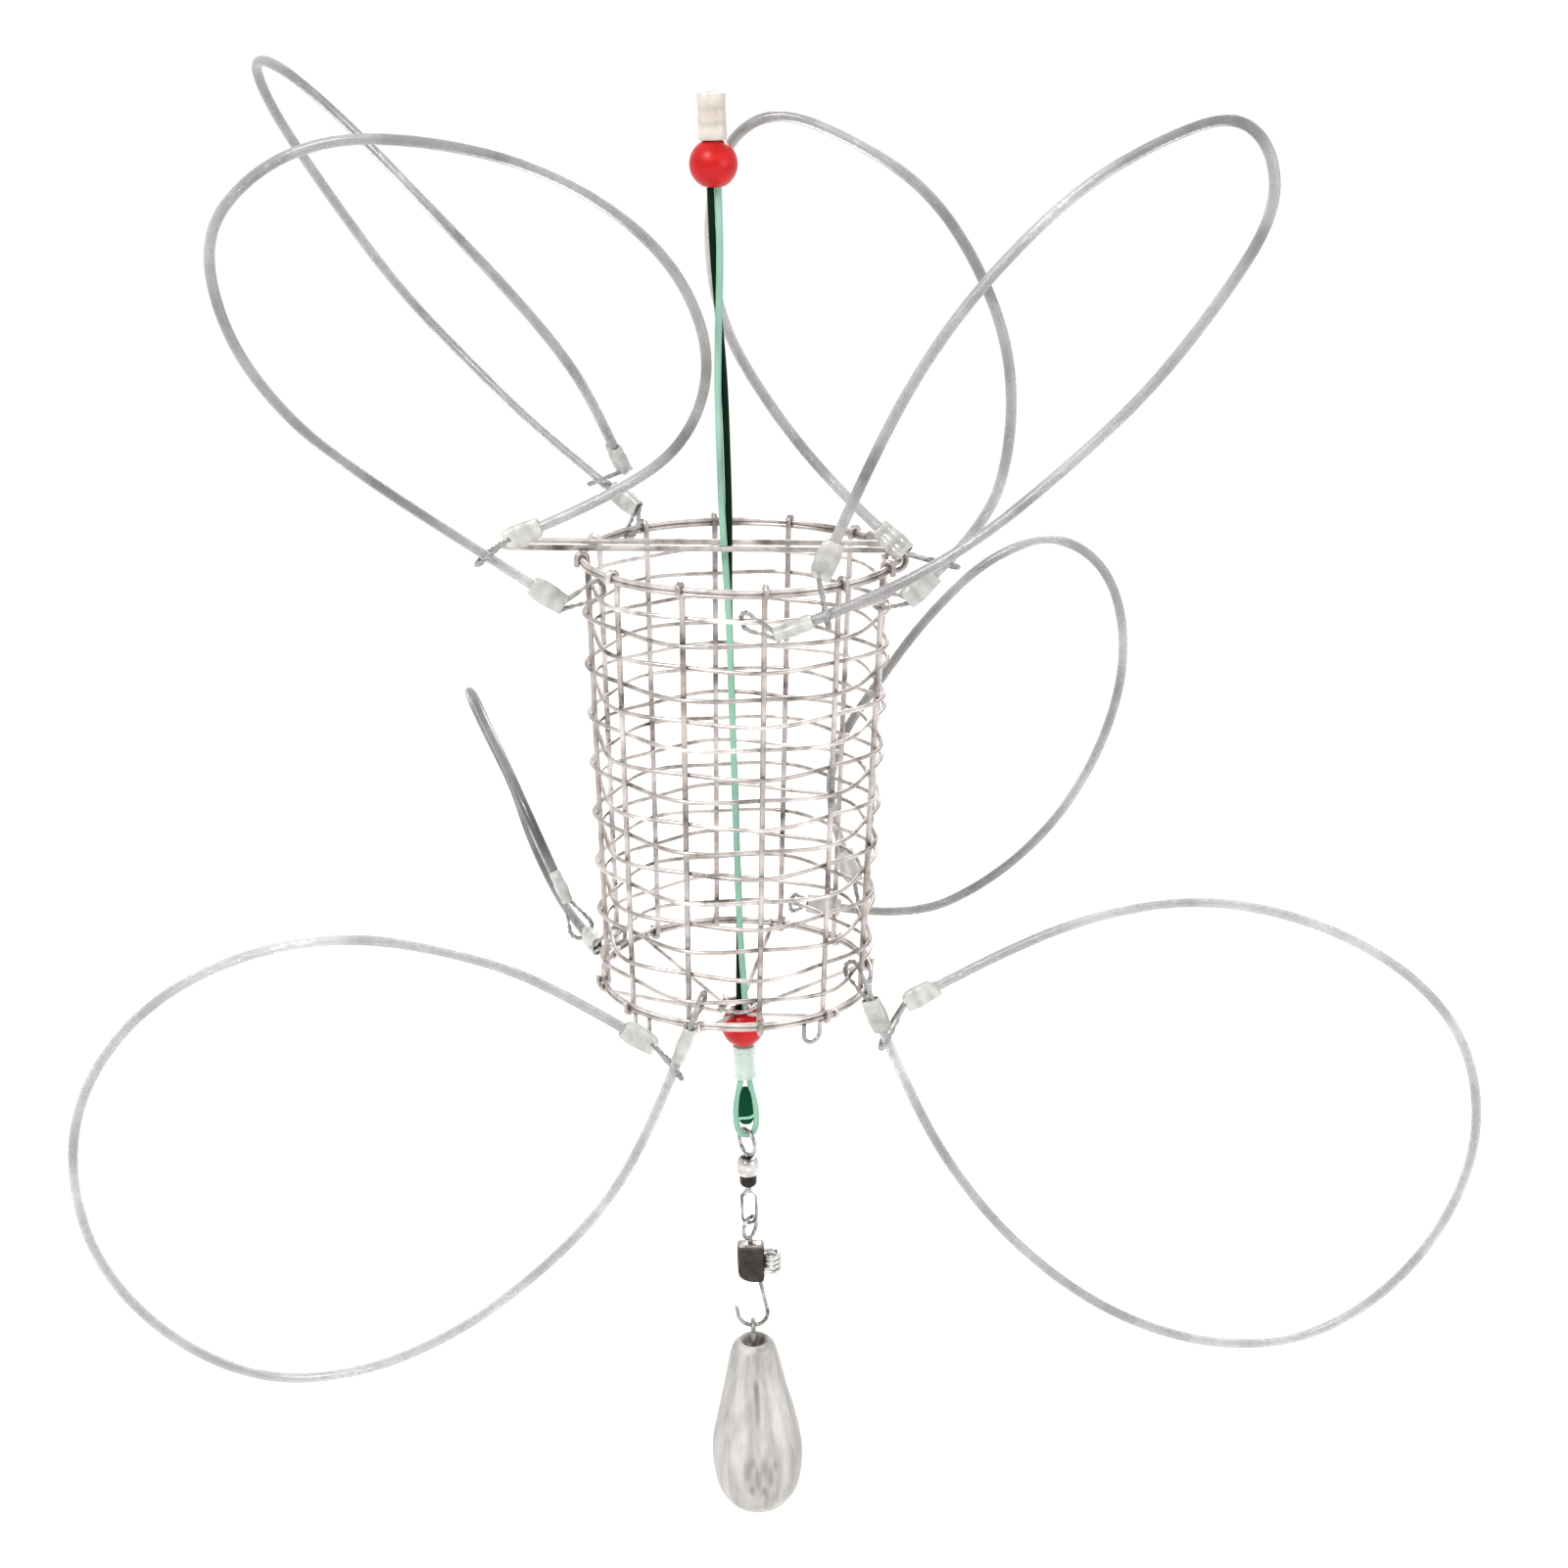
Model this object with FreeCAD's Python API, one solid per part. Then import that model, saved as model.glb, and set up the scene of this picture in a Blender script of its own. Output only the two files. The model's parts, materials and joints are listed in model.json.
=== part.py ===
"""A hanging bait cage with eight wire snares, on a doubled line with a swivel, a snap and a lead sinker.

Millimetres. The line hangs along Z, and the origin is the mouth of the top crimp sleeve, where it is hung.
An azimuth is in degrees round the cage from its front, -Y, and is positive towards +X.
The cage is drawn upright round its own axis and then placed with in_cage(), which leans and shifts it.
"""

import FreeCAD, Part
import math
import os

Vector = FreeCAD.Vector
X, Y, Z = Vector(1, 0, 0), Vector(0, 1, 0), Vector(0, 0, 1)

# The line and what is crimped and threaded on it.
LINE_D = 1.2
LINE_PITCH = 1.22  # between the two strands, side by side in X
SLEEVE_TOP_Z = 0.0
SLEEVE_TOP_LENGTH = 7.1
SLEEVE_TOP_D = 5.0
SOCKET_R = 1.3
SOCKET_DEPTH = 3.0
SLEEVE_FILLET = 0.5
SLEEVE_BORE_D = LINE_D + 0.08  # the two strands' bores run into each other
STRANDS_START = -3.5  # the line's cut ends, under the socket's floor
BEAD_D = 8.0
BEAD_HOLE_D = 2.7
TOP_BEAD_Z = -11.3
LOWER_BEAD_Z = -166.0
BEAD_FLAT = 0.35  # what the hole's mouth takes off each end of a bead
SLEEVE_LOW_Z = -170.0
SLEEVE_LOW_LENGTH = 6.6
SLEEVE_LOW_D = 4.6
LINE_EYE_Z = -188.6  # the strand's centre at the bottom of the line's own eye
LINE_EYE_R = 1.8
LINE_SPREAD_DROP = 3.8  # how far under the low sleeve the strands reach the eye's width
LINER_TOP_Z = -178.6
LINER_LOW_Z = -185.6
LINER_WIDTH = 2.3
LINER_THICK = 1.5

# The cage.
CAGE_LEAN = 2.0
CAGE_SHIFT_X = -1.0
RIM_Z = -77.0
FLOOR_RIM_Z = -155.0
FLOOR_EYE_Z = -161.9
UPRIGHT_R_TOP = 26.2
UPRIGHT_R_LOW = 23.7
UPRIGHT_D = 1.0
UPRIGHTS = 12
UPRIGHT_PAST = 0.8
FIRST_AZIMUTH = -80.0
ROW_D = 0.8
ROWS = 16
WEAVE = UPRIGHT_D / 2 + ROW_D / 2 + 0.04  # from an upright's centre to a row's, in or out
RIM_WIRE_D = 0.8
RIM_PITCH = 0.82  # between a rim's two wires
FLOOR_EYE_R = 3.2
SPOKES = 6
SPOKE_OFFSET = 5.0  # degrees from the nearest upright
SPLICE_AZIMUTH = 112.0
SPLICE_LENGTH = 8.0
SPLICE_D = 3.2
SPLICE_BORE_D = RIM_WIRE_D + 0.08
TAIL_AZIMUTHS = (-42.0, 33.0)
TAIL_R = 1.7
TAIL_LEG = 2.0
TAIL_GAP = 0.05

# The closure clip across the mouth.
CLIP_D = 1.0
CLIP_LEG_Y = 2.6
CLIP_REACH = 41.0  # to the left of the cage's axis
CLIP_EYE_R = 1.8

# The snares.
CABLE_D = 1.8
CORE_D = 0.9
CRIMP_LENGTH = 6.5
CRIMP_WIDTH = 4.0
CRIMP_THICK = 2.5
CRIMP_FILLET = 0.35
ANCHOR_EYE_R = 1.6
SLIP_EYE_R = 2.2
LEG_HALF_GAP = 0.55

# Each snare hangs by an eye on a woven row, or on the top rim, at an azimuth. Its cable's route starts at the
# anchor crimp's mouth and ends at the noose crimp's, whose eye runs on the cable, slip mm from the start.
SNARES = {
    "a": {
        "row": 15,
        "azimuth": -74.0,
        "slip": 6.0,
        "route": [
            (-33, -9, -79), (-46, -8.5, -71), (-60, -8, -61), (-72, -8, -50), (-81, -8, -36), (-83, -8, -20),
            (-75, -8, -8), (-61, -8, -3), (-45, -8, -4), (-29, -8, -8), (-15, -8, -17), (-5, -8, -29),
            (-1, -8, -43), (-6, -8, -56), (-17, -8, -65), (-28, -9, -71),
        ],
    },
    "b": {
        "row": "top",
        "azimuth": -134.0,
        "slip": 3.0,
        "route": [
            (-23, 25, -68), (-33, 34, -60), (-46, 44, -49), (-60, 50, -35), (-72, 51, -18), (-81, 45, -2),
            (-82, 34, 8), (-72, 23, 4), (-60, 15, -6), (-48, 9, -18), (-36, 6, -31), (-29, 6, -41),
            (-24, 12, -50), (-23, 19, -58),
        ],
    },
    "c": {
        "row": 15,
        "azimuth": 64.0,
        "slip": 2.5,
        "route": [
            (35, -13, -78), (44, -12, -70), (50, -11, -57), (51, -9, -42), (46, -6, -27), (37, -3, -14),
            (24, 2, -6), (9, 6, -2), (-1, 8, -9), (-4, 8, -23), (-1, 7, -37), (8, 4, -51),
            (20, -3, -63), (28, -8, -70),
        ],
    },
    "d": {
        "row": 15,
        "azimuth": 4.0,
        "slip": 2.5,
        "route": [
            (14, -30, -81), (26, -29, -78), (41, -28, -71), (56, -27, -61), (70, -27, -48), (82, -27, -33),
            (90, -27, -18), (89, -27, -6), (81, -27, 0), (70, -27, -3), (57, -27, -11), (44, -27, -24),
            (33, -28, -38), (24, -29, -53), (18, -30, -68),
        ],
    },
    "e": {
        "row": 0,
        "azimuth": 154.0,
        "slip": 4.0,
        "route": [
            (19, 27, -154), (33, 28, -156), (48, 28, -150), (62, 28, -138), (72, 28, -122), (76, 28, -105),
            (72, 28, -89), (61, 28, -80), (47, 28, -83), (35, 29, -94), (26, 31, -108), (19, 32, -122),
            (17, 31, -134), (20, 29, -143),
        ],
    },
    "f": {
        "row": 0,
        "azimuth": -104.0,
        "slip": 4.0,
        "route": [
            (-29, 12, -152), (-33, 25, -152), (-38, 40, -150), (-43, 56, -147), (-48, 70, -142),
            (-53, 80, -135), (-57, 79, -124), (-57, 68, -116), (-54, 55, -113), (-49, 41, -117),
            (-43, 29, -123), (-38, 20, -132), (-34, 17, -141),
        ],
    },
    "g": {
        "row": 0,
        "azimuth": -14.0,
        "slip": 1.5,
        "route": [
            (-11, -27, -160), (-15, -28, -172), (-22, -29, -187), (-34, -29, -202), (-51, -30, -214),
            (-70, -30, -222), (-89, -30, -223), (-106, -30, -214), (-117, -30, -198), (-120, -30, -179),
            (-116, -30, -160), (-103, -30, -144), (-85, -29, -135), (-66, -29, -133), (-48, -28, -136),
            (-33, -28, -143), (-20, -28, -153),
        ],
    },
    "h": {
        "row": 0,
        "azimuth": 64.0,
        "slip": 1.5,
        "route": [
            (25.3, -14.2, -161.2), (30, -14.5, -174), (38, -15, -190), (50, -15, -206), (66, -16, -220),
            (84, -17, -229), (103, -17, -230), (120, -17, -220), (132, -17, -204), (137, -17, -185),
            (133, -16, -166), (120, -16, -151), (102, -15, -142), (82, -15, -137), (63, -14, -139),
            (46, -14, -146.5), (35.5, -14, -154.5),
        ],
    },
}

# The swivel, the snap and the sinker, down the line.
SWIVEL_WIRE_D = 0.8
SWIVEL_EYE_R = 2.6
SWIVEL_EYE_Z = -190.1
POST_R = 0.55
HEAD_R = 1.25
HEAD_LENGTH = 0.8
BARREL_TOP_Z = -193.3
BARREL_LOW_Z = -199.3
BARREL_D = 4.3
BARREL_WALL = 0.55
BARREL_END = 0.8
BARREL_TAPER = 1.2
BARREL_TAPER_IN = 0.7
HEAD_GAP = 0.1
RUNNING_CLEARANCE = 0.08
LOWER_EYE_TOP_Z = -200.4
LOWER_EYE_LOW_Z = -207.3
LOWER_EYE_HALF_WIDTH = 1.35
LOWER_EYE_ROOT = 0.3
LOWER_EYE_SHOULDER = 1.2
SNAP_WIRE_D = 0.8
SNAP_RING_R = 2.1
SNAP_RING_Z = -208.3
CLASP_TOP_Z = -211.6
CLASP_LOW_Z = -219.9
CLASP_WIDTH = 5.2
CLASP_DEPTH = 3.0
CLASP_SHEET = 0.45
CLASP_CORNER = 0.6
CLASP_SLOT = 1.4
CLASP_SLOT_LEFT = -1.8
COIL_R = 1.3
COIL_TURNS = 3
COIL_GAP = 0.2
HOOK_LOW_Z = -229.8
HOOK_R = 2.9
HOOK_PIVOT_X = 1.7
HOOK_PIVOT_Z = -214.2
HOOK_TIP_LENGTH = 1.6
SINKER_EYE_R = 1.5
SINKER_TOP_Z = -232.9
SINKER_LOW_Z = -270.3
SINKER_D = 17.6
# From the top down: shares of the sinker's length and of its greatest radius.
SINKER_OUTLINE = [
    (0.0, 0.32), (0.035, 0.47), (0.28, 0.7), (0.45, 0.865),
    (0.68, 1.0), (0.86, 0.9), (0.965, 0.61), (1.0, 0.3),
]
SINKER_EYE_Z = -228.83  # the cast eye's top
SINKER_EYE_DEPTH = 3.0  # how far its legs are cast in


def save(name, solids):
    """One STEP file for a node, of one or more separate solids."""
    solids = [s for part in solids for s in part.Solids]
    shape = solids[0] if len(solids) == 1 else Part.makeCompound(solids)
    volume = sum(s.Volume for s in solids)
    print(f"{name}: {len(solids)} solids, {volume:.1f} mm3, valid {shape.isValid()}")
    shape.exportStep(f"parts/{name}.step")


def wire_along(edges, diameter):
    """A round wire swept along edges that meet end to end."""
    path = Part.Wire(edges)
    start = edges[0].valueAt(edges[0].FirstParameter)
    heading = edges[0].tangentAt(edges[0].FirstParameter)
    section = Part.Wire(Part.makeCircle(diameter / 2, start, heading))
    return path.makePipeShell([section], True, False)


def rounded_route(name, points):
    """Straight runs between the points, joined by tangent arcs that are as large as the runs allow."""
    points = [Vector(*p) for p in points]
    edges = []
    radii = []
    last = points[0]
    for before, corner, after in zip(points, points[1:], points[2:]):
        into = (corner - before).normalize()
        out = (after - corner).normalize()
        half_turn = into.getAngle(out) / 2
        cut = 0.45 * min((corner - before).Length, (after - corner).Length)
        start = corner - into * cut
        end = corner + out * cut
        radius = cut / math.tan(half_turn)
        radii.append(radius)
        inward = (out - into).normalize()
        middle = corner + inward * (radius / math.cos(half_turn) - radius)
        edges.append(Part.makeLine(last, start))
        edges.append(Part.Arc(start, middle, end).toShape())
        last = end
    edges.append(Part.makeLine(last, points[-1]))
    length = sum(e.Length for e in edges)
    print(f"route {name}: {length:.1f} mm, radii {min(radii):.1f} to {max(radii):.1f} mm")
    return edges, length


def cord_tube(name, points, diameter):
    """A cord's solid, with its volume compared with its section times its length."""
    edges, length = rounded_route(name, points)
    tube = wire_along(edges, diameter)
    expected = math.pi * diameter**2 / 4 * length
    print(f"tube {name}: volume is {tube.Volume / expected:.4f} of its section times its length")
    return tube


def ring(centre, normal, radius, wire_d):
    return Part.makeTorus(radius, wire_d / 2, centre, normal)


def around(azimuth, radius, z):
    """A point of the upright cage, from an azimuth, a radius and a height."""
    turn = math.radians(azimuth)
    return Vector(radius * math.sin(turn), -radius * math.cos(turn), z)


def tangent(azimuth):
    turn = math.radians(azimuth)
    return Vector(math.cos(turn), math.sin(turn), 0)


def cage_placement():
    """Leans the cage to the right about the middle of its floor eye, and shifts it on the line."""
    eye = Vector(0, 0, FLOOR_EYE_Z)
    lean = FreeCAD.Placement(Vector(), FreeCAD.Rotation(Y, CAGE_LEAN), eye)
    shift = FreeCAD.Placement(Vector(CAGE_SHIFT_X, 0, 0), FreeCAD.Rotation())
    return shift.multiply(lean)


def in_cage(shape):
    return shape.transformed(cage_placement().toMatrix())


def upright_radius(z):
    share = (z - FLOOR_RIM_Z) / (RIM_Z - FLOOR_RIM_Z)
    return UPRIGHT_R_LOW + share * (UPRIGHT_R_TOP - UPRIGHT_R_LOW)


def upright_azimuth(number):
    return FIRST_AZIMUTH + number * 360 / UPRIGHTS


def uprights():
    """Twelve straight wires, each a little past both rims."""
    solids = []
    for number in range(UPRIGHTS):
        azimuth = upright_azimuth(number)
        low = around(azimuth, UPRIGHT_R_LOW, FLOOR_RIM_Z - UPRIGHT_PAST)
        high = around(azimuth, UPRIGHT_R_TOP, RIM_Z + UPRIGHT_PAST)
        axis = high - low
        solids.append(in_cage(Part.makeCylinder(UPRIGHT_D / 2, axis.Length, low, axis)))
    return solids


def row_height(number):
    return FLOOR_RIM_Z + (number + 1) * (RIM_Z - FLOOR_RIM_Z) / (ROWS + 1)


def row_shape(number):
    """A row's hexagon with rounded corners.

    Returns its corners' distance from the axis, the length of each side that a corner takes, the corner's
    radius, and the nearest and furthest that the row comes to the axis.
    """
    radius = upright_radius(row_height(number))
    inside = radius - WEAVE
    outside = radius + WEAVE
    corner = inside / math.cos(math.pi / 6)
    # A rounded corner's top is this far in from the corner for each mm of its radius.
    drop = 1 / math.cos(math.pi / 6) - 1
    bend = (corner - outside) / drop
    cut = bend * math.tan(math.pi / 6)
    return corner, cut, bend, inside, outside


def row_corner_azimuths(number):
    """A row passes outside every second upright, and the next row outside the others."""
    return [upright_azimuth(2 * step + number % 2) for step in range(6)]


def row_radius(number, azimuth):
    """How far a row is from the cage's axis at an azimuth."""
    corner, cut, bend, inside, outside = row_shape(number)
    off_corner = (azimuth - row_corner_azimuths(number)[0] + 30) % 60 - 30
    half_side = inside * math.tan(math.pi / 6)
    side_angle = math.degrees(math.atan((half_side - cut) / inside))
    if 30 - abs(off_corner) < side_angle:
        return inside / math.cos(math.radians(30 - abs(off_corner)))
    centre = outside - bend
    turn = math.radians(off_corner)
    return centre * math.cos(turn) + math.sqrt(bend**2 - (centre * math.sin(turn)) ** 2)


def woven_row(number):
    """One row, which passes outside every second upright and inside the rest."""
    z = row_height(number)
    corner, cut, bend, inside, outside = row_shape(number)
    azimuths = row_corner_azimuths(number)
    edges = []
    for here, ahead in zip(azimuths, azimuths[1:] + azimuths[:1]):
        this_corner = around(here, corner, z)
        next_corner = around(ahead, corner, z)
        last_corner = around(here - 60, corner, z)
        out = (next_corner - this_corner).normalize()
        back = (last_corner - this_corner).normalize()
        start = this_corner + back * cut
        end = this_corner + out * cut
        edges.append(Part.Arc(start, around(here, outside, z), end).toShape())
        edges.append(Part.makeLine(end, next_corner - out * cut))
    return in_cage(wire_along(edges, ROW_D))


def double_rim(radius, z):
    """Two wire rings, one on the other."""
    heights = [z - RIM_PITCH / 2, z + RIM_PITCH / 2]
    return [in_cage(ring(Vector(0, 0, height), Z, radius, RIM_WIRE_D)) for height in heights]


def rim_radius(which):
    """The rims lie outside the uprights' ends and touch them."""
    upright = UPRIGHT_R_TOP if which == "top" else UPRIGHT_R_LOW
    return upright + UPRIGHT_D / 2 + RIM_WIRE_D / 2 - 0.02


def rim_splice():
    """The ferrule that joins the top rim's two ends, bored for the double wire."""
    centre = around(SPLICE_AZIMUTH, rim_radius("top"), RIM_Z)
    along = tangent(SPLICE_AZIMUTH)
    start = centre - along * (SPLICE_LENGTH / 2)
    tube = Part.makeCylinder(SPLICE_D / 2, SPLICE_LENGTH, start, along)
    for rim in (-1, 1):
        height = RIM_Z + rim * RIM_PITCH / 2
        tube = tube.cut(ring(Vector(0, 0, height), Z, rim_radius("top"), SPLICE_BORE_D))
    return in_cage(tube)


def spokes():
    """Floor wires from the bottom rim down to the floor eye."""
    solids = []
    for number in range(SPOKES):
        azimuth = upright_azimuth(2 * number) + SPOKE_OFFSET
        outer = around(azimuth, rim_radius("bottom") - RIM_WIRE_D / 2, FLOOR_RIM_Z - RIM_WIRE_D / 2)
        inner = around(azimuth, FLOOR_EYE_R + RIM_WIRE_D / 2, FLOOR_EYE_Z)
        axis = outer - inner
        solids.append(in_cage(Part.makeCylinder(RIM_WIRE_D / 2, axis.Length, inner, axis)))
    return solids


def tails():
    """Bent wire ends that hang in small half loops under the bottom rim."""
    solids = []
    for azimuth in TAIL_AZIMUTHS:
        top = around(azimuth, rim_radius("bottom"), FLOOR_RIM_Z - RIM_WIRE_D - TAIL_GAP)
        side = tangent(azimuth) * TAIL_R
        low = top - Z * TAIL_LEG
        arc = Part.Arc(low - side, low - Z * TAIL_R, low + side).toShape()
        edges = [Part.makeLine(top - side, low - side), arc, Part.makeLine(low + side, top + side)]
        solids.append(in_cage(wire_along(edges, RIM_WIRE_D)))
    return solids


def eye_loop(centre, mouth, through, radius, wire_d):
    """A wire eye round centre, open along through, with two legs into a crimp whose face is at mouth."""
    along = mouth - centre
    distance = along.Length
    along = along.normalize()
    side = through.cross(along).normalize()
    angle = math.atan2(LEG_HALF_GAP, distance) + math.acos(radius / math.hypot(distance, LEG_HALF_GAP))
    near = along * (radius * math.cos(angle))
    far = side * (radius * math.sin(angle))
    start, end = centre + near + far, centre + near - far
    arc = Part.Arc(start, centre - along * radius, end).toShape()
    first = Part.makeLine(mouth + side * LEG_HALF_GAP, start)
    last = Part.makeLine(end, mouth - side * LEG_HALF_GAP)
    return wire_along([first, arc, last], wire_d)


def crimp(face, along, wide, length):
    """An oval crimp sleeve from face along its axis, with its broad side along wide."""
    wide = (wide - along * wide.dot(along)).normalize()
    up = along.cross(wide).normalize() * (CRIMP_THICK / 2)
    out = wide * (CRIMP_WIDTH / 2 - CRIMP_THICK / 2)
    tip = wide * (CRIMP_WIDTH / 2)
    edges = [
        Part.makeLine(face - out + up, face + out + up),
        Part.Arc(face + out + up, face + tip, face + out - up).toShape(),
        Part.makeLine(face + out - up, face - out - up),
        Part.Arc(face - out - up, face - tip, face - out + up).toShape(),
    ]
    body = Part.Face(Part.Wire(edges)).extrude(along * length)
    rims = [e for e in body.Edges if abs(e.tangentAt(e.FirstParameter).dot(along)) < 0.5]
    return body.makeFillet(CRIMP_FILLET, rims)


def snare(name, facts):
    """One snare: its cable, its two crimps and its two bare wire eyes."""
    azimuth = facts["azimuth"]
    if facts["row"] == "top":
        held_at = around(azimuth, rim_radius("top"), RIM_Z)
    else:
        held_at = around(azimuth, row_radius(facts["row"], azimuth), row_height(facts["row"]))
    place = cage_placement()
    anchor = place.multVec(held_at)
    rim_way = place.Rotation.multVec(tangent(azimuth))
    route = [Vector(*p) for p in facts["route"]]
    start, end = route[0], route[-1]
    first = (route[1] - start).normalize()
    last = (end - route[-2]).normalize()
    anchor_face = start - first * CRIMP_LENGTH
    noose_face = end + last * CRIMP_LENGTH
    slip = start + first * facts["slip"]
    print(
        f"snare {name}: anchor {anchor.x:.1f} {anchor.y:.1f} {anchor.z:.1f}, "
        f"anchor eye {(anchor_face - anchor).Length:.1f} mm, noose eye {(noose_face - slip).Length:.1f} mm, "
        f"noose to cable {math.degrees(first.getAngle(noose_face - slip)):.0f} deg"
    )
    cable = cord_tube(name, facts["route"], CABLE_D)
    broad = first.cross(last)
    crimps = [
        crimp(anchor_face, first, rim_way.cross(first), CRIMP_LENGTH),
        crimp(end, last, broad.cross(last), CRIMP_LENGTH),
    ]
    eyes = [
        eye_loop(anchor, anchor_face, rim_way, ANCHOR_EYE_R, CORE_D),
        eye_loop(slip, noose_face, first, SLIP_EYE_R, CORE_D),
    ]
    save(f"snare_{name}_cable", [cable])
    save(f"snare_{name}_crimps", crimps)
    save(f"snare_{name}_eyes", eyes)


def clip():
    """A doubled wire across the mouth: two hooks on the rim at the right, a bend past it at the left."""
    hinge_x = rim_radius("top")
    height = RIM_Z + CLIP_EYE_R
    bend_x = CLIP_LEG_Y - CLIP_REACH
    diagonal = CLIP_EYE_R * math.sqrt(0.5)
    edges = []
    for y in (-CLIP_LEG_Y, CLIP_LEG_Y):
        inner = Vector(hinge_x - CLIP_EYE_R, y, RIM_Z)
        outer = Vector(hinge_x + diagonal, y, RIM_Z - diagonal)
        over = Vector(hinge_x, y, height)
        far = Vector(bend_x, y, height)
        if y < 0:
            edges.append(Part.Arc(inner, outer, over).toShape())
            edges.append(Part.makeLine(over, far))
            edges.append(Part.Arc(far, Vector(-CLIP_REACH, 0, height), Vector(bend_x, -y, height)).toShape())
        else:
            edges.append(Part.makeLine(far, over))
            edges.append(Part.Arc(over, outer, inner).toShape())
    return in_cage(wire_along(edges, CLIP_D))


def turned(profile):
    """A solid of revolution about Z from (radius, z) points, in order round the section."""
    points = [Vector(r, 0, z) for r, z in profile]
    face = Part.Face(Part.makePolygon(points + points[:1]))
    return face.revolve(Vector(), Z, 360)


def bead(z):
    """A round bead with a hole down the line and flat mouths."""
    ball = Part.makeSphere(BEAD_D / 2, Vector(0, 0, z))
    height = BEAD_D / 2 - BEAD_FLAT
    band = Part.makeCylinder(BEAD_D, 2 * height, Vector(0, 0, z - height))
    hole = Part.makeCylinder(BEAD_HOLE_D / 2, 2 * BEAD_D, Vector(0, 0, z - BEAD_D))
    return ball.common(band).cut(hole)


def line():
    """The cable goes down, makes the eye for the swivel, and comes back up beside itself."""
    half = LINE_PITCH / 2
    low = SLEEVE_LOW_Z - SLEEVE_LOW_LENGTH
    wide_z = low - LINE_SPREAD_DROP
    arc_z = LINE_EYE_Z + LINE_EYE_R
    down = [Vector(-half, 0, STRANDS_START), Vector(-half, 0, low), Vector(-LINE_EYE_R, 0, wide_z)]
    down.append(Vector(-LINE_EYE_R, 0, arc_z))
    up = [Vector(-p.x, 0, p.z) for p in reversed(down)]
    edges = [Part.makeLine(p, q) for p, q in zip(down, down[1:])]
    edges.append(Part.Arc(down[-1], Vector(0, 0, LINE_EYE_Z), up[0]).toShape())
    edges += [Part.makeLine(p, q) for p, q in zip(up, up[1:])]
    return edges


def sleeve_on_line(top, length, diameter):
    """A crimp sleeve bored right through for both strands."""
    body = Part.makeCylinder(diameter / 2, length, Vector(0, 0, top - length))
    body = body.makeFillet(SLEEVE_FILLET, [e for e in body.Edges if e.Curve.TypeId == "Part::GeomCircle"])
    for x in (-LINE_PITCH / 2, LINE_PITCH / 2):
        body = body.cut(Part.makeCylinder(SLEEVE_BORE_D / 2, length + 2, Vector(x, 0, top - length - 1)))
    return body


def top_sleeve():
    """The top sleeve, whose mouth is a round socket above the line's ends."""
    body = sleeve_on_line(SLEEVE_TOP_Z, SLEEVE_TOP_LENGTH, SLEEVE_TOP_D)
    return body.cut(Part.makeCylinder(SOCKET_R, SOCKET_DEPTH, Vector(0, 0, SLEEVE_TOP_Z - SOCKET_DEPTH)))


def eye_liner():
    """The plug that fills the upper part of the line's eye."""
    low = Vector(-LINER_WIDTH / 2, -LINER_THICK / 2, LINER_LOW_Z)
    plug = Part.makeBox(LINER_WIDTH, LINER_THICK, LINER_TOP_Z - LINER_LOW_Z, low)
    plug = plug.makeFillet(LINER_THICK / 3, plug.Edges)
    strands = wire_along(line(), LINE_D + 0.02)
    return plug.cut(strands)


def headed_post(inner_z, outer_z):
    """A post through a barrel end, with its head at inner_z."""
    inward = 1 if inner_z > outer_z else -1
    low = min(inner_z, outer_z)
    post = Part.makeCylinder(POST_R, abs(inner_z - outer_z), Vector(0, 0, low))
    head_low = inner_z - HEAD_LENGTH if inward > 0 else inner_z
    return post.fuse(Part.makeCylinder(HEAD_R, HEAD_LENGTH, Vector(0, 0, head_low)))


def swivel_upper_eye():
    """A ring through the line's eye, with its post and head inside the barrel."""
    loop = ring(Vector(0, 0, SWIVEL_EYE_Z), X, SWIVEL_EYE_R, SWIVEL_WIRE_D)
    inner_z = BARREL_TOP_Z - BARREL_END - HEAD_GAP - HEAD_LENGTH
    return loop.fuse(headed_post(inner_z, SWIVEL_EYE_Z - SWIVEL_EYE_R)).removeSplitter()


def swivel_barrel():
    """The hollow barrel, closed at both ends round the two posts."""
    outer = BARREL_D / 2
    shoulder = outer - BARREL_TAPER_IN
    bore = POST_R + RUNNING_CLEARANCE
    inner = outer - BARREL_WALL
    top, low = BARREL_TOP_Z, BARREL_LOW_Z
    outside = [(bore, top), (shoulder, top), (outer, top - BARREL_TAPER), (outer, low + BARREL_TAPER)]
    outside += [(shoulder, low), (bore, low)]
    inside = [(bore, low + BARREL_END), (inner, low + BARREL_END), (inner, top - BARREL_END)]
    inside += [(bore, top - BARREL_END)]
    return turned(outside + inside)


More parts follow.
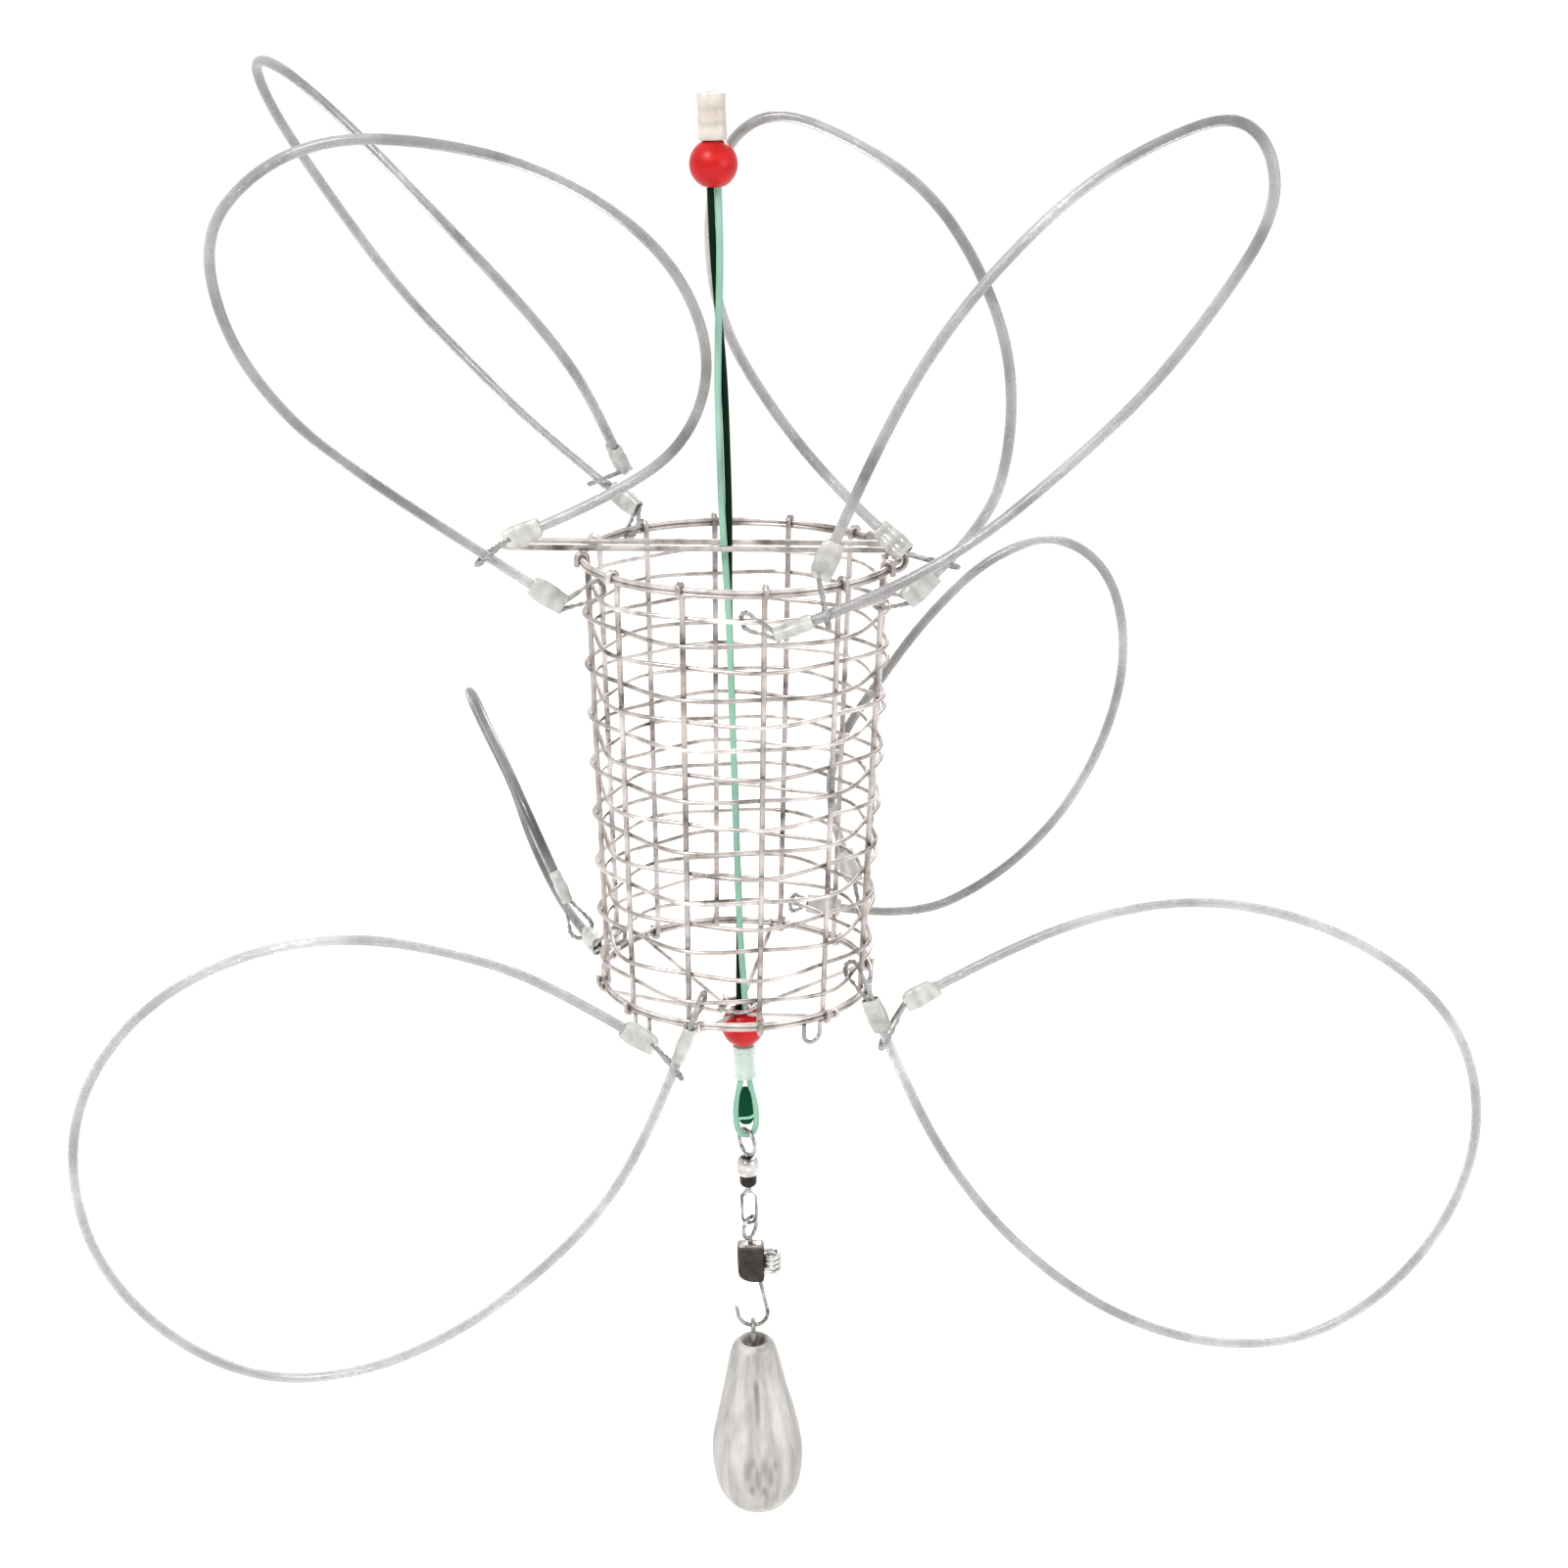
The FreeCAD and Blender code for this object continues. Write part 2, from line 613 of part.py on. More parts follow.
def swivel_lower_eye():
    """A long narrow eye under the barrel, with its post and head inside it."""
    half = LOWER_EYE_HALF_WIDTH
    arc_z = LOWER_EYE_LOW_Z + half
    shoulder = LOWER_EYE_TOP_Z - LOWER_EYE_SHOULDER
    left = [Vector(-LOWER_EYE_ROOT, 0, LOWER_EYE_TOP_Z), Vector(-half, 0, shoulder), Vector(-half, 0, arc_z)]
    right = [Vector(-p.x, 0, p.z) for p in reversed(left)]
    edges = [Part.makeLine(p, q) for p, q in zip(left, left[1:])]
    edges.append(Part.Arc(left[-1], Vector(0, 0, LOWER_EYE_LOW_Z), right[0]).toShape())
    edges += [Part.makeLine(p, q) for p, q in zip(right, right[1:])]
    loop = wire_along(edges, SWIVEL_WIRE_D)
    inner_z = BARREL_LOW_Z + BARREL_END + HEAD_GAP + HEAD_LENGTH
    return loop.fuse(headed_post(inner_z, LOWER_EYE_TOP_Z - SWIVEL_WIRE_D / 2))


def snap_ring():
    """The ring that hangs the snap on the swivel, with its stem down into the clasp."""
    loop = ring(Vector(0, 0, SNAP_RING_Z), X, SNAP_RING_R, SNAP_WIRE_D)
    low = CLASP_TOP_Z - CLASP_SHEET
    stem = Part.makeCylinder(SNAP_WIRE_D / 2, SNAP_RING_Z - SNAP_RING_R - low, Vector(0, 0, low))
    return loop.fuse(stem)


def snap_clasp():
    """A folded sheet clasp, open at its sides, with a slot in its floor for the hook."""
    height = CLASP_TOP_Z - CLASP_LOW_Z
    left, front = -CLASP_WIDTH / 2, -CLASP_DEPTH / 2
    shell = Part.makeBox(CLASP_WIDTH, CLASP_DEPTH, height, Vector(left, front, CLASP_LOW_Z))
    shell = shell.makeFillet(CLASP_CORNER, [e for e in shell.Edges if abs(e.tangentAt(0).z) > 0.9])
    inside = Part.makeBox(
        2 * CLASP_WIDTH,
        CLASP_DEPTH - 2 * CLASP_SHEET,
        height - 2 * CLASP_SHEET,
        Vector(left + CLASP_SHEET, front + CLASP_SHEET, CLASP_LOW_Z + CLASP_SHEET),
    )
    deep = 4 * CLASP_SHEET
    slot_corner = Vector(CLASP_SLOT_LEFT, -CLASP_SLOT / 2, CLASP_LOW_Z - CLASP_SHEET)
    slot = Part.makeBox(CLASP_WIDTH, CLASP_SLOT, deep, slot_corner)
    stem = Part.makeCylinder(SNAP_WIRE_D / 2 + 0.01, deep, Vector(0, 0, CLASP_TOP_Z - deep / 2))
    return shell.cut(inside).cut(slot).cut(stem)


def snap_hook():
    """The sprung hook: a shank that bows out of the clasp, a round bend under the clasp, and an open tip."""
    shank_top = Vector(HOOK_PIVOT_X, 0, HOOK_PIVOT_Z)
    shank_low = Vector(HOOK_PIVOT_X, 0, CLASP_LOW_Z - 0.6)
    bend_z = HOOK_LOW_Z + HOOK_R
    right, left = Vector(HOOK_R, 0, bend_z), Vector(-HOOK_R, 0, bend_z)
    lean = right - shank_low
    edges = [
        Part.makeLine(shank_top, shank_low),
        Part.makeLine(shank_low, right),
        Part.Arc(right, Vector(0, 0, HOOK_LOW_Z), left).toShape(),
        Part.makeLine(left, left + Vector(-lean.x, 0, -lean.z).normalize() * HOOK_TIP_LENGTH),
    ]
    return wire_along(edges, SNAP_WIRE_D)


def snap_coil():
    """The hook's spring coil, as rings side by side on the clasp's right."""
    centre_x = CLASP_WIDTH / 2 + COIL_R + COIL_GAP
    centre_z = (CLASP_TOP_Z + CLASP_LOW_Z) / 2
    pitch = SNAP_WIRE_D + 0.02
    front = -pitch * (COIL_TURNS - 1) / 2
    centres = [Vector(centre_x, front + turn * pitch, centre_z) for turn in range(COIL_TURNS)]
    return [ring(centre, Y, COIL_R, SNAP_WIRE_D) for centre in centres]


def sinker():
    """The pear-shaped lead weight, turned about the line."""
    length = SINKER_TOP_Z - SINKER_LOW_Z
    points = [Vector(wide * SINKER_D / 2, 0, SINKER_TOP_Z - down * length) for down, wide in SINKER_OUTLINE]
    outline = Part.BSplineCurve()
    outline.interpolate(points)
    top, low = Vector(0, 0, SINKER_TOP_Z), Vector(0, 0, SINKER_LOW_Z)
    edges = [Part.makeLine(low, top), Part.makeLine(top, points[0])]
    edges += [outline.toShape(), Part.makeLine(points[-1], low)]
    body = Part.Face(Part.Wire(edges)).revolve(Vector(), Z, 360)
    return body.cut(sinker_eye())


def sinker_eye():
    """The wire eye cast into the sinker's top."""
    arc_z = SINKER_EYE_Z - SINKER_EYE_R
    low = SINKER_TOP_Z - SINKER_EYE_DEPTH
    left, right = Vector(0, -SINKER_EYE_R, arc_z), Vector(0, SINKER_EYE_R, arc_z)
    edges = [
        Part.makeLine(Vector(0, -SINKER_EYE_R / 2, low), left),
        Part.Arc(left, Vector(0, 0, SINKER_EYE_Z), right).toShape(),
        Part.makeLine(right, Vector(0, SINKER_EYE_R / 2, low)),
    ]
    return wire_along(edges, CORE_D)


def main():
    os.makedirs("parts", exist_ok=True)
    save("top_crimp_sleeve", [top_sleeve()])
    save("hauling_line", [wire_along(line(), LINE_D)])
    save("eye_liner", [eye_liner()])
    save("lower_crimp_sleeve", [sleeve_on_line(SLEEVE_LOW_Z, SLEEVE_LOW_LENGTH, SLEEVE_LOW_D)])
    save("top_bead", [bead(TOP_BEAD_Z)])
    save("lower_bead", [bead(LOWER_BEAD_Z)])
    save("cage_uprights", uprights())
    save("cage_rows", [woven_row(number) for number in range(ROWS)])
    save("top_rim", double_rim(rim_radius("top"), RIM_Z))
    save("bottom_rim", double_rim(rim_radius("bottom"), FLOOR_RIM_Z))
    save("rim_splice_ferrule", [rim_splice()])
    save("floor_spokes", spokes())
    save("floor_eye", [in_cage(ring(Vector(0, 0, FLOOR_EYE_Z), Z, FLOOR_EYE_R, RIM_WIRE_D))])
    save("wire_tails", tails())
    save("closure_clip", [clip()])
    for name, facts in SNARES.items():
        snare(name, facts)
    save("swivel_upper_eye", [swivel_upper_eye()])
    save("swivel_barrel", [swivel_barrel()])
    save("swivel_lower_eye", [swivel_lower_eye()])
    save("snap_ring", [snap_ring()])
    save("snap_clasp", [snap_clasp()])
    save("snap_hook", [snap_hook()])
    save("snap_coil", snap_coil())
    save("sinker_body", [sinker()])
    save("sinker_eye", [sinker_eye()])


main()
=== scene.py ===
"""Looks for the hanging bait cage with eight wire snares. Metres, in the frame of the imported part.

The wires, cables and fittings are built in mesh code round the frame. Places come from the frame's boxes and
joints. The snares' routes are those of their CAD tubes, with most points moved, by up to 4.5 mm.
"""

import json
import math
import random

import bmesh
import bpy
from mathutils import Matrix, Vector, noise

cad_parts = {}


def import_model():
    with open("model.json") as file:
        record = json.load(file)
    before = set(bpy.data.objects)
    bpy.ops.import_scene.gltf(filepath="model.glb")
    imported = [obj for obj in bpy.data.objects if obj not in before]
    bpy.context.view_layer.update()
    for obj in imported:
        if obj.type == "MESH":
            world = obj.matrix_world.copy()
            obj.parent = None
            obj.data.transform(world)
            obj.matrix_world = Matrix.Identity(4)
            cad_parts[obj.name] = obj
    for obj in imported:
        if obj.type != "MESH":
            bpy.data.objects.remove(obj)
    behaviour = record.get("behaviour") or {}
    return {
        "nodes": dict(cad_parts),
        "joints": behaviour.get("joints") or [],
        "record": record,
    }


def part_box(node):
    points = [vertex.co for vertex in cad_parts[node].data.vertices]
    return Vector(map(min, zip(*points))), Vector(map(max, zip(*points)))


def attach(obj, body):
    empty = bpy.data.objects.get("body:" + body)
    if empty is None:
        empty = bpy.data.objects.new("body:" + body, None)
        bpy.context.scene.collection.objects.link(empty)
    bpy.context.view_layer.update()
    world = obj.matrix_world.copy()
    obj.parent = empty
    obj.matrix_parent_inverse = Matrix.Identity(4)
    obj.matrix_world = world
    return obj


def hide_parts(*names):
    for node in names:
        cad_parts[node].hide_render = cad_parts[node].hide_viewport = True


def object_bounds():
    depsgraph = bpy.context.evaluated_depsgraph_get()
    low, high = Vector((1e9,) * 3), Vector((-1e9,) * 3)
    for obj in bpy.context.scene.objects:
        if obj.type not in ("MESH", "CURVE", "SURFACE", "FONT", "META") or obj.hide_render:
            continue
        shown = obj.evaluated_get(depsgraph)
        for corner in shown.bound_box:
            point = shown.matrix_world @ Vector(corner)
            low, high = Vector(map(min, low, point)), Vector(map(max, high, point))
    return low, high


MM = 0.001
X, Y, Z = Vector((1, 0, 0)), Vector((0, 1, 0)), Vector((0, 0, 1))

# Camera: level with the top of the object and tilted down, as the object was seen.
CAMERA_AIM = Vector((0.0088, 0.0, -0.119))
CAMERA_DISTANCE = 0.420
CAMERA_PITCH = math.radians(19.0)
CAMERA_ROLL = math.radians(1.55)
CAMERA_LENS = 53.97
FLOOR_GAP = 0.012
SKY_STRENGTH = 1.06
KEY_POWER = 5.0
FILL_POWER = 1.5
RIM_POWER = 2.5

# Sizes that the frame's boxes don't give.
CABLE_D = 1.8 * MM
CORE_D = 0.9 * MM
LINE_D = 1.2 * MM
LINE_HALF_PITCH = 0.64 * MM
UPRIGHT_D = 1.0 * MM
UPRIGHTS = 12
UPRIGHT_INSET = 0.88 * MM  # from the rims' wire centres in to the uprights' centres
FIRST_AZIMUTH = -80.0
ROW_D = 0.8 * MM
ROWS = 16
WEAVE = 0.94 * MM
RIM_D = 0.8 * MM
SPOKES = 6
SPOKE_OFFSET = 5.0
CRIMP_LENGTH = 6.5 * MM
ANCHOR_EYE_R = 1.6 * MM
SLIP_EYE_R = 2.2 * MM
LEG_HALF_GAP = 0.55 * MM

# How the line's two strands turn round each other: a height in mm, and the turn in degrees of the strand that
# goes down. At 0 it is to the right of the other, and at -90 in front of it.
LINE_TURNS = [
    (-3.5, 0), (-11, -3), (-19, -6), (-26, -28), (-33, -70), (-40, -112), (-47, -150), (-54, -176),
    (-61, -184), (-68, -168), (-75, -132), (-83, -102), (-92, -88), (-101, -94), (-111, -86), (-121, -95),
    (-131, -88), (-140, -96), (-149, -78), (-157, -46), (-164, -18), (-170.5, -4), (-176, 0),
]
# The right half of the line's own eye, in mm.
LINE_EYE = [(1.15, -179.3), (1.9, -182.6), (1.9, -186.8), (1.0, -188.6)]
LINE_EYE_LOW = -188.6 * MM

# The lathe outlines are (radius, height) in mm, and each tone says how light that part of the surface is.
BEAD_R = 4.0
BEAD_MOUTH = [(1.35, 3.1), (1.37, 3.38), (1.44, 3.55), (1.57, 3.65)]
BARREL_OUTLINE = [
    (0.63, -193.3), (1.30, -193.3), (1.78, -193.55), (2.02, -194.15), (2.10, -195.2), (2.02, -196.2),
    (1.80, -196.65), (1.66, -196.9), (1.66, -198.5), (1.45, -199.05), (1.10, -199.3), (0.63, -199.3),
    (0.63, -198.5), (1.45, -198.5), (1.45, -194.1), (0.63, -194.1),
]
# Below this height the barrel's neck is painted dark, as shade under its bulge.
BARREL_SHADE_Z = -196.75
# The clasp's outer and inner skins: height, middle, half width and half depth in mm.
CLASP_SKIN = [
    (-211.6, 0.0, 0.45, 0.45), (-211.6, 0.0, 1.9, 1.0), (-211.72, 0.0, 2.35, 1.3), (-212.0, 0.0, 2.54, 1.44),
    (-212.5, 0.0, 2.6, 1.5), (-215.0, 0.0, 2.6, 1.5), (-217.5, 0.0, 2.6, 1.5), (-218.4, 0.08, 2.5, 1.45),
    (-219.1, 0.35, 2.15, 1.3), (-219.6, 0.75, 1.65, 1.1), (-219.9, 1.1, 1.2, 0.8), (-219.7, 1.15, 0.9, 0.5),
    (-219.2, 0.75, 1.3, 0.75), (-218.7, 0.35, 1.8, 0.95), (-218.0, 0.08, 2.12, 1.08),
    (-217.3, 0.0, 2.2, 1.12),
    (-212.7, 0.0, 2.2, 1.12), (-212.05, 0.0, 1.7, 0.8), (-212.0, 0.0, 0.45, 0.45),
]
CLASP_OUTER_RINGS = 11
COIL_TURNS = 3.5
RING_TURN = 34.0
FITTING_WIRE_R = 0.4 * MM
# How much wider the eye plug is than the liner, so that its dark also covers painted shade in the eye.
LINER_SHADE_SWELL = 1.22
SINKER_OUTLINE = [
    (0.0, 0.32), (0.035, 0.47), (0.28, 0.7), (0.45, 0.865), (0.68, 1.0), (0.86, 0.9), (0.965, 0.61),
    (1.0, 0.3),
]
GROOVE_AZIMUTH = 3.0
# Cast dents low on the sinker's front: azimuth in degrees, share of its length, then half width, half height
# and depth in mm.
SINKER_DENTS = [
    (-13, 0.655, 0.7, 2.3, 0.26), (-6, 0.60, 0.5, 1.2, 0.18), (1, 0.695, 0.6, 2.7, 0.30),
    (9, 0.63, 0.6, 1.9, 0.26), (17, 0.69, 0.7, 2.5, 0.28), (24, 0.63, 0.5, 1.3, 0.18),
    (9, 0.775, 0.5, 1.2, 0.20), (-8, 0.77, 0.5, 1.0, 0.16),
]

# The lower two snares' coats are painted lighter, as painted light, and the one seen edge on darker, as
# painted shade.
COAT_LIGHT_AND_SHADE = {"f": "shaded_jacket", "g": "lit_jacket", "h": "lit_jacket"}

# Each snare: its jacketed cable's length, how far along it its noose eye sits, and its route, which starts at
# the anchor crimp's mouth and ends at the noose crimp's.
SNARES = {
    "a": {
        "length": 0.228,
        "slip": 0.009,
        "route": [
            (-0.033, -0.009, -0.079), (-0.046, -0.0085, -0.070), (-0.060, -0.008, -0.060),
            (-0.072, -0.008, -0.050), (-0.081, -0.008, -0.036), (-0.083, -0.008, -0.020),
            (-0.074, -0.008, -0.010), (-0.061, -0.008, -0.005), (-0.045, -0.008, -0.006),
            (-0.029, -0.008, -0.010), (-0.015, -0.008, -0.018), (-0.005, -0.008, -0.029),
            (-0.001, -0.008, -0.043), (-0.006, -0.008, -0.056), (-0.018, -0.008, -0.064),
            (-0.031, -0.009, -0.069),
        ],
    },
    "b": {
        "length": 0.211,
        "slip": 0.003,
        "route": [
            (-0.021, 0.025, -0.070), (-0.034, 0.034, -0.061), (-0.047, 0.044, -0.050),
            (-0.061, 0.050, -0.036), (-0.073, 0.051, -0.018), (-0.081, 0.045, -0.002),
            (-0.081, 0.034, 0.007), (-0.072, 0.023, 0.004), (-0.060, 0.015, -0.006),
            (-0.048, 0.009, -0.018), (-0.036, 0.006, -0.031), (-0.028, 0.006, -0.041),
            (-0.023, 0.012, -0.051), (-0.020, 0.019, -0.061),
        ],
    },
    "c": {
        "length": 0.191,
        "slip": 0.0025,
        "route": [
            (0.035, -0.013, -0.078), (0.044, -0.012, -0.070), (0.048, -0.011, -0.057),
            (0.048, -0.009, -0.042), (0.043, -0.006, -0.028), (0.035, -0.003, -0.016),
            (0.023, 0.002, -0.008), (0.010, 0.006, -0.003), (0.0012, 0.008, -0.009),
            (-0.0018, 0.008, -0.023), (0.000, 0.007, -0.038), (0.008, 0.004, -0.052),
            (0.018, -0.003, -0.064), (0.026, -0.008, -0.071),
        ],
    },
    "d": {
        "length": 0.219,
        "slip": 0.0025,
        "route": [
            (0.014, -0.030, -0.081), (0.026, -0.029, -0.077), (0.041, -0.028, -0.069),
            (0.055, -0.027, -0.058), (0.068, -0.027, -0.046), (0.079, -0.027, -0.032),
            (0.087, -0.027, -0.019), (0.086, -0.027, -0.009), (0.080, -0.027, -0.004),
            (0.070, -0.027, -0.007), (0.057, -0.027, -0.014), (0.044, -0.027, -0.026),
            (0.034, -0.028, -0.038), (0.025, -0.029, -0.053), (0.018, -0.030, -0.068),
        ],
    },
    "e": {
        "length": 0.198,
        "slip": 0.004,
        "route": [
            (0.019, 0.027, -0.154), (0.033, 0.028, -0.157), (0.048, 0.028, -0.150),
            (0.061, 0.028, -0.138), (0.070, 0.028, -0.122), (0.074, 0.028, -0.105),
            (0.071, 0.028, -0.089), (0.061, 0.028, -0.081), (0.048, 0.028, -0.085),
            (0.036, 0.029, -0.097), (0.027, 0.031, -0.110), (0.019, 0.032, -0.122),
            (0.017, 0.031, -0.134), (0.020, 0.029, -0.143),
        ],
    },
    "f": {
        "length": 0.166,
        "slip": 0.004,
        "route": [
            (-0.029, 0.012, -0.152), (-0.034, 0.025, -0.152), (-0.039, 0.040, -0.150),
            (-0.044, 0.056, -0.147), (-0.048, 0.070, -0.142), (-0.053, 0.080, -0.136),
            (-0.056, 0.079, -0.128), (-0.056, 0.068, -0.120), (-0.053, 0.055, -0.117),
            (-0.049, 0.041, -0.119), (-0.044, 0.029, -0.124), (-0.039, 0.020, -0.132),
            (-0.035, 0.017, -0.141),
        ],
    },
    "g": {
        "length": 0.295,
        "slip": 0.0015,
        "route": [
            (-0.011, -0.027, -0.160), (-0.016, -0.028, -0.172), (-0.024, -0.029, -0.186),
            (-0.036, -0.029, -0.199), (-0.052, -0.030, -0.211), (-0.070, -0.030, -0.219),
            (-0.088, -0.030, -0.220), (-0.104, -0.030, -0.211), (-0.115, -0.030, -0.196),
            (-0.118, -0.030, -0.178), (-0.114, -0.030, -0.161), (-0.102, -0.030, -0.146),
            (-0.085, -0.029, -0.137), (-0.066, -0.029, -0.134), (-0.048, -0.028, -0.138),
            (-0.033, -0.028, -0.144), (-0.020, -0.028, -0.153),
        ],
    },
    "h": {
        "length": 0.300,
        "slip": 0.0015,
        "route": [
            (0.0253, -0.0142, -0.1612), (0.030, -0.0145, -0.174), (0.038, -0.015, -0.190),
            (0.050, -0.015, -0.206), (0.066, -0.016, -0.219), (0.084, -0.017, -0.226),
            (0.102, -0.017, -0.226), (0.117, -0.017, -0.217), (0.128, -0.017, -0.202),
            (0.133, -0.017, -0.184), (0.130, -0.016, -0.166), (0.119, -0.016, -0.152),
            (0.102, -0.015, -0.142), (0.082, -0.015, -0.137), (0.063, -0.014, -0.140),
            (0.046, -0.014, -0.147), (0.035, -0.014, -0.153),
        ],
    },
}


# ---------------------------------------------------------------- meshes


class Build:
    """Collects vertices, faces and a tone for each vertex, and makes one smooth mesh object."""

    def __init__(self):
        self.points = []
        self.faces = []
        self.tones = []

    def add(self, points, faces, tone=0.5):
        """Adds a patch. tone is one number or one for each point."""
        first = len(self.points)
        self.points += [tuple(p) for p in points]
        self.faces += [tuple(first + i for i in face) for face in faces]
        self.tones += list(tone) if hasattr(tone, "__len__") else [tone] * len(points)

    def finish(self, name, material, sharp=35.0):
        mesh = bpy.data.meshes.new(name)
        mesh.from_pydata(self.points, [], self.faces)
        attribute = mesh.attributes.new("tone", "FLOAT", "POINT")
        attribute.data.foreach_set("value", self.tones)
        mesh.materials.append(material)
        mesh.validate()
        shell = bmesh.new()
        shell.from_mesh(mesh)
        bmesh.ops.recalc_face_normals(shell, faces=shell.faces)
        shell.to_mesh(mesh)
        shell.free()
        piece = bpy.data.objects.new(name, mesh)
        bpy.context.scene.collection.objects.link(piece)
        mesh.shade_smooth()
        mesh.set_sharp_from_angle(angle=math.radians(sharp))
        return piece


def grid_faces(rings, sides, closed):
    """Quads between rings of points. closed joins the last ring to the first, else both ends are capped."""
    faces = []
    for ring in range(rings if closed else rings - 1):
        here, there = ring * sides, (ring + 1) % rings * sides
        for side in range(sides):
            ahead = (side + 1) % sides
            faces.append((here + side, here + ahead, there + ahead, there + side))
    if not closed:
        faces.append(tuple(range(sides - 1, -1, -1)))
        faces.append(tuple(range((rings - 1) * sides, rings * sides)))
    return faces


def frames_along(path, closed=False):
    """(point, side, up) for each point of a path, turned as little as possible from one to the next."""
    count = len(path)
    tangents = []
    for i in range(count):
        before = path[i - 1] if closed or i else path[0]
        after = path[(i + 1) % count] if closed or i < count - 1 else path[-1]
        tangents.append((after - before).normalized())
    side = tangents[0].orthogonal().normalized()
    sides = []
    for tangent in tangents:
        side = (side - tangent * side.dot(tangent)).normalized()
        sides.append(side)
    if closed:
        spin = sides[0].angle(sides[-1])
        if sides[-1].cross(sides[0]).dot(tangents[0]) < 0:
            spin = -spin
        sides = [Matrix.Rotation(spin * i / count, 3, t) @ s for i, (s, t) in enumerate(zip(sides, tangents))]
    return [(p, s, t.cross(s)) for p, s, t in zip(path, sides, tangents)]


def add_wire(build, path, radius, sides=12, closed=False, tone=0.5, round_ends=True):
    """A round wire along path. Open ends get a small round cap."""
    frames = frames_along(path, closed)
    sizes = [radius] * len(frames)
    tones = list(tone) if hasattr(tone, "__len__") else [tone] * len(path)
    if not closed and round_ends:
        start, end = frames[0], frames[-1]
        into = (path[1] - path[0]).normalized()
        out = (path[-1] - path[-2]).normalized()
        caps = [(0.97, 0.25), (0.75, 0.66), (0.4, 0.92)]
        frames = (
            [(start[0] - into * radius * 0.6 * back, *start[1:]) for _, back in reversed(caps)]
            + frames
            + [(end[0] + out * radius * 0.6 * on, *end[1:]) for _, on in caps]
        )
        sizes = [radius * wide for wide, _ in reversed(caps)] + sizes + [radius * wide for wide, _ in caps]
        tones = tones[:1] * len(caps) + tones + tones[-1:] * len(caps)
    points = []
    for (centre, side, up), size in zip(frames, sizes):
        for step in range(sides):
            turn = 2 * math.pi * step / sides
            points.append(centre + side * (size * math.cos(turn)) + up * (size * math.sin(turn)))
    shades = [value for value in tones for _ in range(sides)]
    build.add(points, grid_faces(len(frames), sides, closed), shades)


def add_strands(build, path, outer, count, pitch, sides=7, tones=(0.5,), middle=True):
    """Twisted strands that fill a round of radius outer along path."""
    thick = outer / (1 + 1 / math.sin(math.pi / count)) if count > 2 else outer / 2
    offset = outer - thick
    frames = frames_along(path)
    travelled = [0.0]
    for here, there in zip(path, path[1:]):
        travelled.append(travelled[-1] + (there - here).length)
    for strand in range(count):
        points = []
        for (centre, side, up), way in zip(frames, travelled):
            turn = 2 * math.pi * (strand / count + way / pitch)
            points.append(centre + side * (offset * math.cos(turn)) + up * (offset * math.sin(turn)))
        add_wire(build, points, thick, sides, tone=tones[strand % len(tones)])
    if middle and count > 3:
        add_wire(build, path, offset - thick * 0.9, sides, tone=tones[0])


def add_loft(build, rings, tones, closed=True):
    """Skin over rings of points, from each to the next. tones has one for each ring."""
    sides = len(rings[0])
    points = [point for ring in rings for point in ring]
    build.add(points, grid_faces(len(rings), sides, closed), [tone for tone in tones for _ in range(sides)])


def oval(centre, half_wide, half_deep, sides=48, power=1.0):
    """A level ring of points, round when power is 1 and squarer when it is less."""
    ring = []
    for step in range(sides):
        turn = 2 * math.pi * step / sides
        cos, sin = math.cos(turn), math.sin(turn)
        x = math.copysign(abs(cos) ** power, cos) * half_wide
        y = math.copysign(abs(sin) ** power, sin) * half_deep
        ring.append(centre + Vector((x, y, 0)))
    return ring


def through(points, share):
    """A smooth curve's value at share, through (share, value) points."""
    index = max(i for i in range(len(points) - 1) if points[i][0] <= share)
    (x0, y0), (x1, y1) = points[index], points[index + 1]
    before = points[max(index - 1, 0)]
    after = points[min(index + 2, len(points) - 1)]
    slope0 = (y1 - before[1]) / (x1 - before[0])
    slope1 = (after[1] - y0) / (after[0] - x0)
    width = x1 - x0
    t = (share - x0) / width
    rise = t * t * (3 - 2 * t)
    return y0 + (y1 - y0) * rise + width * (slope0 * t * (1 - t) ** 2 - slope1 * t * t * (1 - t))


def rounded(corners, radius, steps=5):
    """A closed outline's corners, each cut by a small round."""
    result = []
    count = len(corners)
    for i in range(count):
        corner = Vector(corners[i])
        before, after = Vector(corners[i - 1]), Vector(corners[(i + 1) % count])
        into, out = (before - corner), (after - corner)
        cut = min(radius, into.length * 0.45, out.length * 0.45)
        start, end = corner + into.normalized() * cut, corner + out.normalized() * cut
        for step in range(steps + 1):
            share = step / steps
            result.append(tuple(start.lerp(corner, share).lerp(corner.lerp(end, share), share)))
    return result


def spline_object(name, points, diameter, material, closed=False, resolution=10):
    """A curve of one NURBS spline of order 3 through control points, as thick as diameter."""
    curve = bpy.data.curves.new(name, "CURVE")
    curve.dimensions = "3D"
    spline = curve.splines.new("NURBS")
    spline.points.add(len(points) - 1)
    for spot, point in zip(spline.points, points):
        spot.co = (*point, 1.0)
    spline.order_u = 3
    if closed:
        spline.use_cyclic_u = True
    else:
        spline.use_endpoint_u = True
    spline.resolution_u = resolution
    curve.bevel_depth = diameter / 2
    curve.bevel_resolution = 5
    curve.use_fill_caps = True
    if material is not None:
        curve.materials.append(material)
    piece = bpy.data.objects.new(name, curve)
    bpy.context.scene.collection.objects.link(piece)
    return piece


